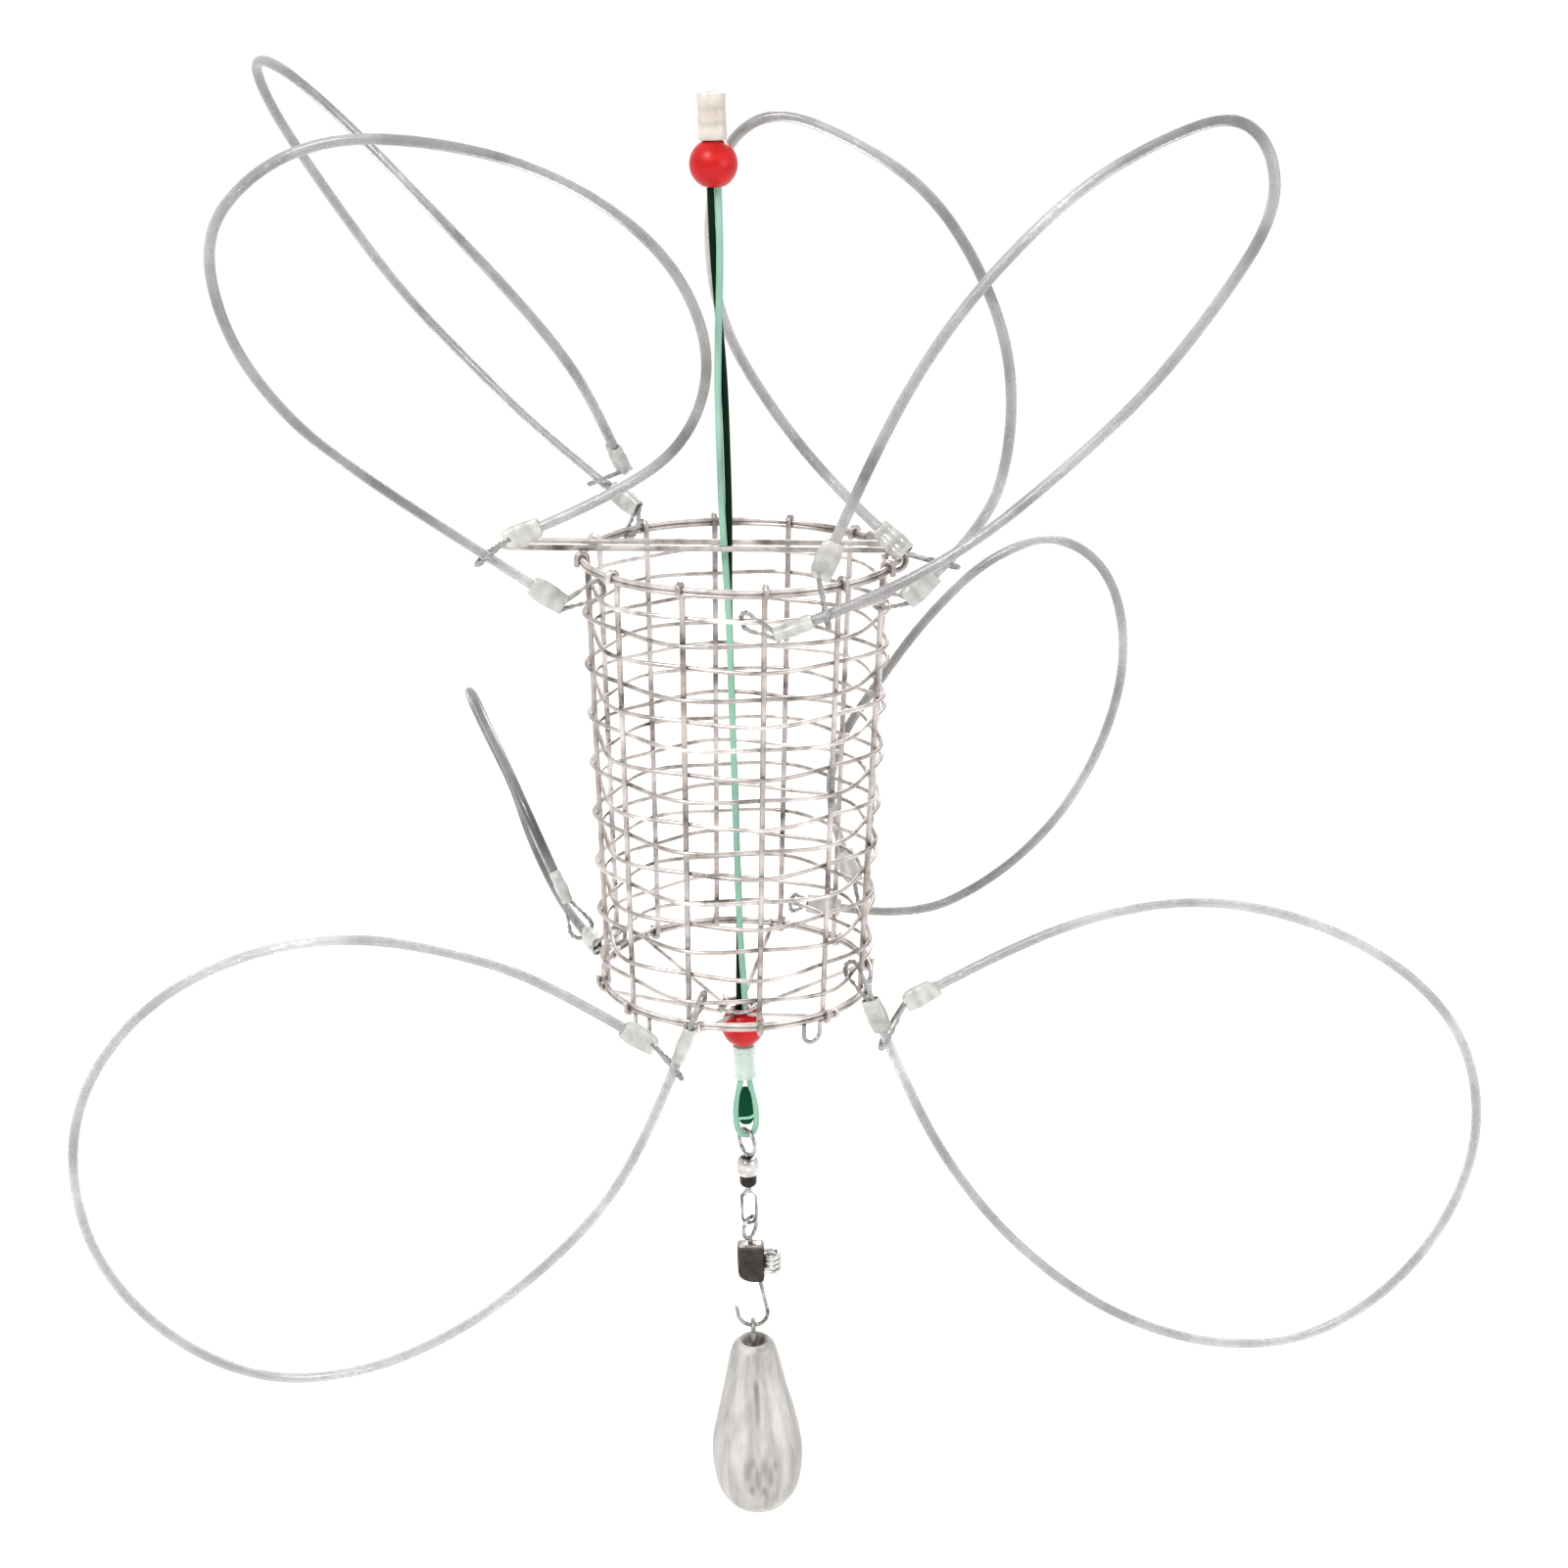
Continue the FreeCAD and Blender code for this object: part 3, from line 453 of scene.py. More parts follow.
def spline_points(points, closed=False, resolution=10):
    """The points of such a spline's own line."""
    line = spline_object("line", points, 0.0, None, closed, resolution)
    line.data.bevel_depth = 0.0
    line.data.use_fill_caps = False
    bpy.context.view_layer.update()
    mesh = bpy.data.meshes.new_from_object(line)
    found = [v.co.copy() for v in mesh.vertices]
    bpy.data.meshes.remove(mesh)
    curve = line.data
    bpy.data.objects.remove(line)
    bpy.data.curves.remove(curve)
    return [p for i, p in enumerate(found) if i == 0 or (p - found[i - 1]).length > 1e-7]


def arc(centre, side, up, radius, start, end, step=12.0):
    """Points from start to end degrees round centre, where side is at 0 and up is at 90."""
    count = max(2, math.ceil(abs(end - start) / step))
    turns = [math.radians(start + (end - start) * i / count) for i in range(count + 1)]
    return [centre + side * (radius * math.cos(t)) + up * (radius * math.sin(t)) for t in turns]


# ---------------------------------------------------------------- materials


def new_material(name, metallic, **fixed):
    material = bpy.data.materials.new(name)
    material.use_nodes = True
    shader = material.node_tree.nodes["Principled BSDF"]
    shader.inputs["Metallic"].default_value = metallic
    for socket, value in fixed.items():
        shader.inputs[socket.replace("_", " ")].default_value = value
    return material, shader


def add_node(material, kind, **values):
    node = material.node_tree.nodes.new(kind)
    for name, value in values.items():
        if name in node.inputs:
            node.inputs[name].default_value = value
        else:
            setattr(node, name, value)
    return node


def link(material, source, target):
    material.node_tree.links.new(source, target)


def ramp(material, source, stops):
    node = add_node(material, "ShaderNodeValToRGB")
    elements = node.color_ramp.elements
    while len(elements) < len(stops):
        elements.new(0.5)
    for element, (place, colour) in zip(elements, stops):
        element.position = place
        element.color = (*colour, 1.0)
    link(material, source, node.inputs["Fac"])
    return node.outputs["Color"]


def mottle(material, scale, stretch=(1, 1, 1), detail=4.0):
    """A noise over the piece's own coordinates, scale features to the metre."""
    place = add_node(material, "ShaderNodeTexCoord")
    spread = add_node(material, "ShaderNodeMapping")
    spread.inputs["Scale"].default_value = stretch
    texture = add_node(material, "ShaderNodeTexNoise", Scale=scale, Detail=detail, Roughness=0.6)
    link(material, place.outputs["Object"], spread.inputs["Vector"])
    link(material, spread.outputs["Vector"], texture.inputs["Vector"])
    return texture.outputs["Fac"]


def with_bump(material, shader, source, strength, distance):
    node = add_node(material, "ShaderNodeBump", Strength=strength, Distance=distance)
    link(material, source, node.inputs["Height"])
    link(material, node.outputs["Normal"], shader.inputs["Normal"])


def with_roughness(material, shader, source, low, high):
    node = add_node(material, "ShaderNodeMapRange")
    node.inputs["From Min"].default_value = 0.3
    node.inputs["From Max"].default_value = 0.7
    node.inputs["To Min"].default_value = low
    node.inputs["To Max"].default_value = high
    link(material, source, node.inputs["Value"])
    link(material, node.outputs["Result"], shader.inputs["Roughness"])


def multiply(material, first, second):
    """One colour times another."""
    mix = add_node(material, "ShaderNodeMix", data_type="RGBA", blend_type="MULTIPLY")
    mix.inputs["Factor"].default_value = 1.0
    link(material, first, socket_of(mix.inputs, "A"))
    link(material, second, socket_of(mix.inputs, "B"))
    return socket_of(mix.outputs, "Result")


def tone_ramp(material, dark, light):
    """A colour from dark to light, as the piece's tone says; on many pieces the tone carries painted shade.
    """
    tone = add_node(material, "ShaderNodeAttribute", attribute_name="tone")
    return ramp(material, tone.outputs["Fac"], [(0.0, dark), (1.0, light)])


def put_colour(material, shader, base, low=None):
    """Sets the base colour. With low, the piece's tone mixes it down towards base times low."""
    if low is not None:
        base = multiply(material, base, tone_ramp(material, low, (1.0, 1.0, 1.0)))
    link(material, base, shader.inputs["Base Color"])


def socket_of(sockets, name):
    """A mix node's colour socket. It has one of each name for every kind of data."""
    return next(s for s in sockets if s.name == name and s.type == "RGBA")


def steel_material(name, low, stops):
    """Drawn stainless wire: pinkish grey, with duller and brighter stretches and a fine drawn grain."""
    material, shader = new_material(name, 0.85)
    patches = mottle(material, 170.0, detail=6.0)
    put_colour(material, shader, ramp(material, patches, stops), low)
    with_roughness(material, shader, patches, 0.24, 0.46)
    with_bump(material, shader, mottle(material, 3200.0, (1, 1, 0.35), 3.0), 0.35, 0.00004)
    return material


def strand_material(name, metal, dark, light, rough):
    """The cables' fine twisted steel."""
    material, shader = new_material(name, metal)
    patches = mottle(material, 420.0)
    put_colour(material, shader, ramp(material, patches, [(0.35, dark), (0.65, light)]), (0.35, 0.35, 0.35))
    with_roughness(material, shader, patches, rough, rough + 0.2)
    with_bump(material, shader, mottle(material, 4000.0), 0.2, 0.00002)
    return material


def jacket_material(name, smoky, middling, clear):
    """The cables' smoky clear coat, which shows the strands inside."""
    material, shader = new_material(name, 0.0, IOR=1.42, Transmission_Weight=0.5, Coat_Weight=0.1)
    cloud = mottle(material, 42.0, detail=3.0)
    put_colour(material, shader, ramp(material, cloud, [(0.34, smoky), (0.52, middling), (0.68, clear)]))
    with_roughness(material, shader, mottle(material, 300.0), 0.2, 0.38)
    with_bump(material, shader, mottle(material, 700.0), 0.08, 0.00004)
    return material


def crimp_material():
    """Pale cast crimps: creamy, satin, a little see-through, with painted shade in their jaw marks and their
    bores.
    """
    material, shader = new_material("crimp_alloy", 0.0, Coat_Weight=0.4, Coat_Roughness=0.15)
    shader.inputs["Transmission Weight"].default_value = 0.35
    shader.inputs["IOR"].default_value = 1.5
    cloud = mottle(material, 240.0, detail=4.0)
    stops = [(0.32, (0.48, 0.465, 0.43)), (0.5, (0.66, 0.645, 0.61)), (0.68, (0.80, 0.785, 0.75))]
    put_colour(material, shader, ramp(material, cloud, stops), (0.06, 0.057, 0.05))
    with_roughness(material, shader, cloud, 0.24, 0.46)
    with_bump(material, shader, mottle(material, 1800.0), 0.3, 0.00006)
    return material


def line_material(name, dark, light):
    """The line's smooth coat, light and dark as the tone says; the line's dark strand is painted shade."""
    material, shader = new_material(name, 0.0)
    shader.inputs["Specular IOR Level"].default_value = 0.06
    cloud = mottle(material, 260.0, (1, 1, 0.3))
    tint = ramp(material, cloud, [(0.3, (0.66, 0.72, 0.70)), (0.7, (1.0, 1.0, 1.0))])
    put_colour(material, shader, multiply(material, tone_ramp(material, dark, light), tint))
    with_roughness(material, shader, cloud, 0.2, 0.4)
    with_bump(material, shader, mottle(material, 1500.0, (1, 1, 0.2)), 0.2, 0.00004)
    return material


def sleeve_material(name, transmission, dark, light):
    """The line's translucent sleeves, milky where they are thick."""
    material, shader = new_material(name, 0.0, IOR=1.4, Transmission_Weight=transmission)
    shader.inputs["Subsurface Weight"].default_value = 0.3
    shader.inputs["Subsurface Radius"].default_value = (0.002, 0.0015, 0.001)
    cloud = mottle(material, 260.0)
    put_colour(material, shader, ramp(material, cloud, [(0.3, dark), (0.7, light)]), (0.62, 0.60, 0.56))
    with_roughness(material, shader, cloud, 0.22, 0.42)
    with_bump(material, shader, mottle(material, 1200.0), 0.15, 0.00005)
    return material


def bead_material():
    """Glossy red, a little deeper in its moulding streaks."""
    material, shader = new_material("red_bead", 0.0, Coat_Weight=0.12, Coat_Roughness=0.35)
    shader.inputs["Specular IOR Level"].default_value = 0.18
    cloud = mottle(material, 200.0, (1, 1, 2.2))
    stops = [(0.3, (0.33, 0.001, 0.003)), (0.7, (0.50, 0.006, 0.006))]
    put_colour(material, shader, ramp(material, cloud, stops), (0.25, 0.20, 0.20))
    shader.inputs["Subsurface Weight"].default_value = 0.12
    shader.inputs["Subsurface Radius"].default_value = (0.002, 0.0004, 0.0003)
    with_roughness(material, shader, cloud, 0.3, 0.45)
    with_bump(material, shader, mottle(material, 1400.0), 0.1, 0.00005)
    return material


def nickel_material(name, dark, light, low, high, shade):
    """Plated brass or steel: the swivel's and the clasp's nickel."""
    material, shader = new_material(name, 0.9)
    cloud = mottle(material, 520.0, detail=6.0)
    put_colour(material, shader, ramp(material, cloud, [(0.34, dark), (0.66, light)]), shade)
    with_roughness(material, shader, cloud, low, high)
    with_bump(material, shader, mottle(material, 3500.0), 0.25, 0.00004)
    return material


def lead_material():
    """Cast lead with an oxide bloom: pale warm grey, streaked down its length, pitted."""
    material, shader = new_material("cast_lead", 0.3)
    streaks = mottle(material, 170.0, (1.7, 1.7, 0.2), 6.0)
    stops = [(0.32, (0.20, 0.19, 0.18)), (0.5, (0.36, 0.345, 0.325)), (0.68, (0.52, 0.50, 0.47))]
    put_colour(material, shader, ramp(material, streaks, stops), (0.22, 0.20, 0.18))
    with_roughness(material, shader, streaks, 0.34, 0.6)
    with_bump(material, shader, mottle(material, 900.0, detail=8.0), 0.45, 0.00018)
    return material


def backdrop_material():
    material, shader = new_material("pale_floor", 0.0)
    cloud = mottle(material, 3.0)
    stops = [(0.3, (0.95, 0.95, 0.95)), (0.7, (0.97, 0.97, 0.97))]
    put_colour(material, shader, ramp(material, cloud, stops))
    shader.inputs["Roughness"].default_value = 0.9
    return material


# ---------------------------------------------------------------- the stage


def make_camera():
    ahead = Vector((0, math.cos(CAMERA_PITCH), -math.sin(CAMERA_PITCH)))
    level_up = Vector((0, math.sin(CAMERA_PITCH), math.cos(CAMERA_PITCH)))
    right = X * math.cos(CAMERA_ROLL) - level_up * math.sin(CAMERA_ROLL)
    up = level_up * math.cos(CAMERA_ROLL) + X * math.sin(CAMERA_ROLL)
    data = bpy.data.cameras.new("camera")
    data.lens = CAMERA_LENS
    data.sensor_width = 36.0
    data.clip_start = 0.01
    camera = bpy.data.objects.new("camera", data)
    place = Matrix((right, up, -ahead)).transposed().to_4x4()
    place.translation = CAMERA_AIM - ahead * CAMERA_DISTANCE
    camera.matrix_world = place
    bpy.context.scene.collection.objects.link(camera)
    bpy.context.scene.camera = camera


def make_lamp(name, place, aim, size, power):
    data = bpy.data.lights.new(name, "AREA")
    data.shape = "DISK"
    data.size = size
    data.energy = power
    lamp = bpy.data.objects.new(name, data)
    lamp.location = place
    lamp.rotation_mode = "QUATERNION"
    lamp.rotation_quaternion = (Vector(aim) - Vector(place)).to_track_quat("-Z", "Y")
    bpy.context.scene.collection.objects.link(lamp)


def make_stage(low, high):
    """A pale floor under the object, three soft lamps and an even pale sky."""
    size = 60.0
    floor_z = low.z - FLOOR_GAP
    mesh = bpy.data.meshes.new("floor")
    corners = [(-size, -size, floor_z), (size, -size, floor_z), (size, size, floor_z), (-size, size, floor_z)]
    mesh.from_pydata(corners, [], [(0, 1, 2, 3)])
    mesh.materials.append(backdrop_material())
    floor = bpy.data.objects.new("floor", mesh)
    bpy.context.scene.collection.objects.link(floor)
    world = bpy.data.worlds.new("sky")
    bpy.context.scene.world = world
    world.use_nodes = True
    world.node_tree.nodes["Background"].inputs["Color"].default_value = (1.0, 1.0, 1.0, 1.0)
    world.node_tree.nodes["Background"].inputs["Strength"].default_value = SKY_STRENGTH
    centre = (low + high) / 2
    make_lamp("key", centre + Vector((-0.35, -0.50, 0.65)), centre, 0.22, KEY_POWER)
    make_lamp("fill", centre + Vector((0.60, -0.45, 0.20)), centre, 0.40, FILL_POWER)
    make_lamp("rim", centre + Vector((0.10, 0.60, 0.45)), centre, 0.30, RIM_POWER)
    bpy.context.scene.view_settings.view_transform = "Standard"


def place_piece(piece, body, slot, *nodes):
    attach(piece, body)
    if nodes:
        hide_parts(*nodes)


# ---------------------------------------------------------------- the snares


def eye_points(centre, mouth, through, radius):
    """A wire eye round centre, open along through, with two legs into a crimp whose face is at mouth."""
    away = mouth - centre
    distance = away.length
    along = away.normalized()
    side = through.cross(along).normalized()
    reach = math.hypot(distance, LEG_HALF_GAP)
    angle = math.degrees(math.atan2(LEG_HALF_GAP, distance) + math.acos(radius / reach))
    loop = arc(centre, along, side, radius, angle, 360 - angle)
    return [mouth + side * LEG_HALF_GAP, *loop, mouth - side * LEG_HALF_GAP]


def crimp_mesh(build, face, along, wide, waist, seed):
    """A pressed sleeve, open at both ends. A deep waist gives it two lobes, one beside the other."""
    along = along.normalized()
    wide = (wide - along * wide.dot(along)).normalized()
    up = along.cross(wide).normalized()
    chance = random.Random(seed)
    sides = 44
    half_wide, half_thick, wall = 2.0 * MM, 1.3 * MM, 0.32 * MM
    presses = [(chance.uniform(0.2, 0.34), chance.uniform(0.5, 1.0)), (chance.uniform(0.62, 0.8), 0.8)]
    swell = chance.uniform(0.35, 0.65)
    lobe_end = chance.uniform(0.12, 0.2)

    def ring_at(share, inset, tone):
        squeeze = sum(depth * math.exp(-(((share - press) / 0.09) ** 2)) for press, depth in presses)
        lip = 0.14 * MM * (max(0.0, 1 - share / 0.04) + max(0.0, 1 - (1 - share) / 0.04))
        fat = 0.90 + 0.12 * math.cos(math.pi * (share - swell)) ** 2
        points, tones = [], []
        for step in range(sides):
            turn = 2 * math.pi * step / sides
            cos, sin = math.cos(turn), math.sin(turn)
            x = math.copysign(abs(cos) ** 0.8, cos) * (half_wide * fat - inset - lip)
            z = math.copysign(abs(sin) ** 0.85, sin) * (half_thick * fat - inset - lip)
            z *= 1 - waist * math.exp(-((x / (0.42 * half_wide)) ** 2))
            z *= 1 - 0.15 * squeeze
            if x > 0 and waist > 0.15:
                x *= 1 - 0.30 * (max(0.0, 1 - share / lobe_end) + max(0.0, 1 - (1 - share) / lobe_end))
            points.append(face + along * (CRIMP_LENGTH * share) + wide * x + up * z)
            # Painted shade: the skin darkens where the jaws pressed it in.
            tones.append(tone * (1.0 - 0.22 * squeeze))
        return points, tones

    shares = [0.0, 0.015, 0.04] + [0.04 + 0.92 * i / 26 for i in range(1, 27)] + [0.985, 1.0]
    outer = [ring_at(share, 0.0, 0.9) for share in shares]
    # The bore's tone is near nil, as painted shade.
    inner = [ring_at(share, wall, 0.05) for share in (1.0, 0.9, 0.7, 0.3, 0.1, 0.0)]
    rings = outer + inner
    points = [point for ring, _ in rings for point in ring]
    tones = [tone for _, ring_tones in rings for tone in ring_tones]
    build.add(points, grid_faces(len(rings), sides, True), tones)


def make_snare(letter, joint, looks):
    """One snare: jacketed cable, strands, two bare eyes and two crimps."""
    facts = SNARES[letter]
    route = [Vector(p) for p in facts["route"]]
    body = f"snare_{letter}"
    cable = spline_object(f"{body}_jacket", route, CABLE_D, looks[COAT_LIGHT_AND_SHADE.get(letter, "jacket")])
    place_piece(cable, body, "cable_jacket", f"{body}_cable")

    first = (route[1] - route[0]).normalized()
    last = (route[-1] - route[-2]).normalized()
    anchor = Vector(joint["pos_m"])
    rim_way = -Vector(joint["axis"]).normalized()
    anchor_face = route[0] - first * CRIMP_LENGTH
    noose_face = route[-1] + last * CRIMP_LENGTH
    slip = route[0] + first * facts["slip"]

    middle = spline_points(route)
    middle = [route[0] - first * 2 * MM, *middle, route[-1] + last * 2 * MM]
    inside = Build()
    add_strands(inside, middle, CORE_D / 2, 6, 5.2 * MM, sides=6, tones=(1.0, 0.45, 0.8))
    core = inside.finish(f"{body}_strands", looks["strand"])
    place_piece(core, body, "stainless_wire")

    eyes = Build()
    tail = 1.2 * MM
    for centre, mouth, through, radius in (
        (anchor, anchor_face, rim_way, ANCHOR_EYE_R),
        (slip, noose_face, first, SLIP_EYE_R),
    ):
        loop = eye_points(centre, mouth, through, radius)
        inward = (mouth - centre).normalized()
        bent = spline_points(loop[:1] + loop, resolution=3)
        path = [loop[0] + inward * tail, *bent, loop[-1] + inward * tail]
        add_strands(eyes, path, CORE_D / 2, 3, 3.4 * MM, sides=8, tones=(1.0, 0.7, 0.85))
    eye_piece = eyes.finish(f"{body}_wire_eyes", looks["eye_strand"])
    place_piece(eye_piece, body, "stainless_wire", f"{body}_eyes")

    crimps = Build()
    crimp_mesh(crimps, anchor_face, first, rim_way.cross(first), 0.08, f"{letter}0")
    crimp_mesh(crimps, route[-1], last, first.cross(last).cross(last), 0.34, f"{letter}1")
    crimp_piece = crimps.finish(f"{body}_crimp_sleeves", looks["crimp"])
    place_piece(crimp_piece, body, "crimp_alloy", f"{body}_crimps")


# ---------------------------------------------------------------- the cage


class Cage:
    """The cage's own frame, from its rims' boxes: its axis, its heights and its radii."""

    def __init__(self):
        top_low, top_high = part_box("top_rim")
        low_low, low_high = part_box("bottom_rim")
        self.top = (top_low + top_high) / 2
        self.low = (low_low + low_high) / 2
        self.up = (self.top - self.low).normalized()
        self.side = Y.cross(self.up).normalized()
        self.height = (self.top - self.low).length
        self.top_radius = (top_high.y - top_low.y) / 2 - RIM_D / 2
        self.low_radius = (low_high.y - low_low.y) / 2 - RIM_D / 2
        eye_low, eye_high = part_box("floor_eye")
        self.eye = (eye_low + eye_high) / 2
        self.eye_radius = (eye_high.y - eye_low.y) / 2 - RIM_D / 2

    def out(self, azimuth):
        """Straight out from the axis at an azimuth, in degrees from the front."""
        turn = math.radians(azimuth)
        return self.side * math.sin(turn) - Y * math.cos(turn)

    def at(self, azimuth, radius, height):
        return self.low + self.up * height + self.out(azimuth) * radius

    def rim_radius(self, height):
        return self.low_radius + height / self.height * (self.top_radius - self.low_radius)


def upright_azimuth(number):
    return FIRST_AZIMUTH + number * 360 / UPRIGHTS


def make_uprights(cage, looks):
    """Twelve wires, each bent outwards round both rims at its ends."""
    build = Build()
    chance = random.Random(7)
    for number in range(UPRIGHTS):
        azimuth = upright_azimuth(number)
        out = cage.out(azimuth)
        low_centre = cage.low + out * cage.low_radius - cage.up * (RIM_D / 2)
        top_centre = cage.top + out * cage.top_radius + cage.up * (RIM_D / 2)
        over_top = arc(top_centre, -out, cage.up, UPRIGHT_INSET, 0, 180)
        under_low = arc(low_centre, out, -cage.up, UPRIGHT_INSET, 0, 180)
        tail = RIM_D * chance.uniform(1.0, 1.8)
        path = [under_low[0] + cage.up * tail, *under_low]
        start, end = under_low[-1], over_top[0]
        sway = chance.uniform(-0.1, 0.1) * MM
        tangent = cage.up.cross(out)
        for step in range(1, 17):
            share = step / 17
            path.append(start.lerp(end, share) + tangent * (sway * math.sin(math.pi * share)))
        path += [*over_top, over_top[-1] - cage.up * (RIM_D * chance.uniform(1.0, 1.8))]
        add_wire(build, path, UPRIGHT_D / 2, 14, tone=chance.random())
    return build.finish("upright_wires", looks["steel"])


def row_reach(offset):
    """How far a row stands out from its mean, -1 to 1, at an offset in degrees from an outer crossing."""
    swing = math.cos(math.radians(offset * 6))
    return swing * 0.9 + swing**3 * 0.1


def make_rows(cage, looks):
    """Sixteen hoops, woven out and in of the uprights, none of them quite level or round."""
    build = Build()
    chance = random.Random(21)
    steps = 240
    for number in range(ROWS):
        height = (number + 1) * cage.height / (ROWS + 1)
        mean = cage.rim_radius(height) - UPRIGHT_INSET
        first = upright_azimuth(number % 2)
        lift = chance.uniform(-0.22, 0.22) * MM
        tilt = chance.uniform(0.0, 0.30) * MM
        lean = chance.uniform(0, 360)
        path = []
        for step in range(steps):
            azimuth = first + 360 * step / steps
            turn = math.radians(azimuth)
            wobble = noise.noise(Vector((math.cos(turn), math.sin(turn), number * 3.7)))
            rise = lift + tilt * math.sin(math.radians(azimuth + lean)) + 0.16 * MM * wobble
            path.append(cage.at(azimuth, mean + WEAVE * row_reach(azimuth - first), height + rise))
        add_wire(build, path, ROW_D / 2, 12, closed=True, tone=chance.random())
    return build.finish("row_wires", looks["steel"])


def make_rims(cage, looks):
    """Each rim is two turns of one wire."""
    pieces = []
    for name, centre, radius in (
        ("top_rim_wires", cage.top, cage.top_radius),
        ("bottom_rim_wires", cage.low, cage.low_radius),
    ):
        build = Build()
        for side in (-1, 1):
            place = centre + cage.up * (side * 0.41 * MM)
            path = arc(place, cage.side, Y, radius, 0, 360, 1.5)[:-1]
            # The upper turn is painted lighter than the lower, as light from above and shade beneath it.
            add_wire(build, path, RIM_D / 2, 12, closed=True, tone=0.3 + 0.5 * (side > 0))
        pieces.append(build.finish(name, looks["steel"]))
    return pieces


def make_spokes(cage, looks):
    """Floor wires, hooked round the bottom rim and round the floor eye."""
    build = Build()
    chance = random.Random(5)
    for number in range(SPOKES):
        azimuth = upright_azimuth(2 * number) + SPOKE_OFFSET
        out = cage.out(azimuth)
        rim = cage.low + out * cage.low_radius - cage.up * (RIM_D / 2)
        eye = cage.eye + out * cage.eye_radius
        way = (rim - eye).normalized()
        under = -(cage.up - way * cage.up.dot(way)).normalized()
        outer = arc(rim, under, way, RIM_D, 0, 215)
        inner = arc(eye, under, -way, RIM_D, 0, 215)
        path = [*reversed(inner), *outer]
        add_wire(build, path, RIM_D / 2, 12, tone=chance.random())
    return build.finish("floor_spoke_wires", looks["steel"])


def make_cage(looks):
    cage = Cage()
    made = {
        "cage_uprights": make_uprights(cage, looks),
        "cage_rows": make_rows(cage, looks),
        "floor_spokes": make_spokes(cage, looks),
    }
    made["top_rim"], made["bottom_rim"] = make_rims(cage, looks)
    for node, piece in made.items():
        place_piece(piece, "cage", "stainless_wire", node)
    make_ferrule(cage, looks)


# ---------------------------------------------------------------- the line and what is on it


def make_line(looks):
    """The doubled line: down, round its own eye and back up, each strand turning round the other."""
    down = []
    for height, turn in LINE_TURNS:
        angle = math.radians(turn)
        across, ahead = LINE_HALF_PITCH * math.cos(angle), LINE_HALF_PITCH * math.sin(angle)
        down.append(Vector((across, ahead, height * MM)))
    eye = [Vector((x, 0.0, z)) * MM for x, z in LINE_EYE]
    up = [Vector((-p.x, -p.y, p.z)) for p in reversed(down + eye)]
    route = down + eye + up
    path = spline_points(route, resolution=6)
    lowest = min(range(len(path)), key=lambda i: path[i].z)
    # The strand coming up is painted dark, as shade, though it is the same cord as the light one.
    tones = []
    for index, point in enumerate(path):
        coming_up = index > lowest and point.z > LINE_EYE_LOW + 16 * MM
        tones.append(0.0 if coming_up else 1.0)
    build = Build()
    add_wire(build, path, LINE_D / 2, 14, tone=tones)
    piece = build.finish("doubled_line", looks["line"], 60.0)
    place_piece(piece, "line", "green_line", "hauling_line")


def make_sleeves(looks):
    """The top sleeve, whose mouth is a socket, and the clear one over the line's eye."""
    top = Build()
    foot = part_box("top_bead")[1].z / MM + 0.1
    # Height, half width, half depth and tone, down the outside and up the inside; a low tone is painted
    # shade.
    skin = [
        (0.0, 2.05, 1.85, 1.0), (-0.1, 2.28, 2.05, 1.0), (-0.35, 2.38, 2.15, 1.0), (-1.0, 2.36, 2.12, 1.0),
        (-1.9, 2.30, 1.98, 0.8), (-2.6, 2.26, 1.90, 0.55), (-3.3, 2.32, 2.02, 0.9), (-4.2, 2.36, 2.08, 1.0),
        (-4.9, 2.30, 1.96, 0.6), (-5.6, 2.36, 2.08, 1.0), (-6.4, 2.40, 2.16, 1.0),
        (foot + 0.3, 2.36, 2.12, 1.0), (foot + 0.06, 2.22, 1.98, 0.9), (foot, 2.0, 1.75, 0.8),
        (foot, 1.32, 0.72, 0.3),
        (-5.0, 1.28, 0.68, 0.1), (-3.4, 1.28, 0.68, 0.1), (-3.0, 1.30, 1.30, 0.3), (-1.5, 1.30, 1.30, 0.5),
        (-0.3, 1.32, 1.32, 0.6), (0.0, 1.55, 1.50, 0.8),
    ]
    rings = [oval(Z * (z * MM), wide * MM, deep * MM, 56, 0.86) for z, wide, deep, _ in skin]
    add_loft(top, rings, [tone for *_, tone in skin])
    place_piece(top.finish("top_sleeve", looks["top_sleeve"]), "line", "clear_sleeve", "top_crimp_sleeve")

    low_box, high_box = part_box("lower_crimp_sleeve")
    start, end = high_box.z / MM, low_box.z / MM
    length = start - end
    skin = [
        (0.0, 1.75, 1.6), (0.015, 2.02, 1.85), (0.06, 2.15, 1.95), (0.30, 2.10, 1.88), (0.42, 2.00, 1.72),
        (0.55, 2.08, 1.84), (0.78, 2.18, 1.92), (0.92, 2.24, 1.90), (0.98, 2.16, 1.82), (1.0, 1.95, 1.6),
        (0.99, 1.42, 0.78), (0.80, 1.30, 0.69), (0.20, 1.30, 0.69), (0.0, 1.38, 0.76),
    ]
    low = Build()
    rings = [oval(Z * ((start - share * length) * MM), w * MM, d * MM, 56, 0.88) for share, w, d in skin]
    add_loft(low, rings, [1.0] * len(skin))
    sleeve = low.finish("lower_sleeve", looks["clear_sleeve"])
    place_piece(sleeve, "line", "clear_sleeve", "lower_crimp_sleeve")


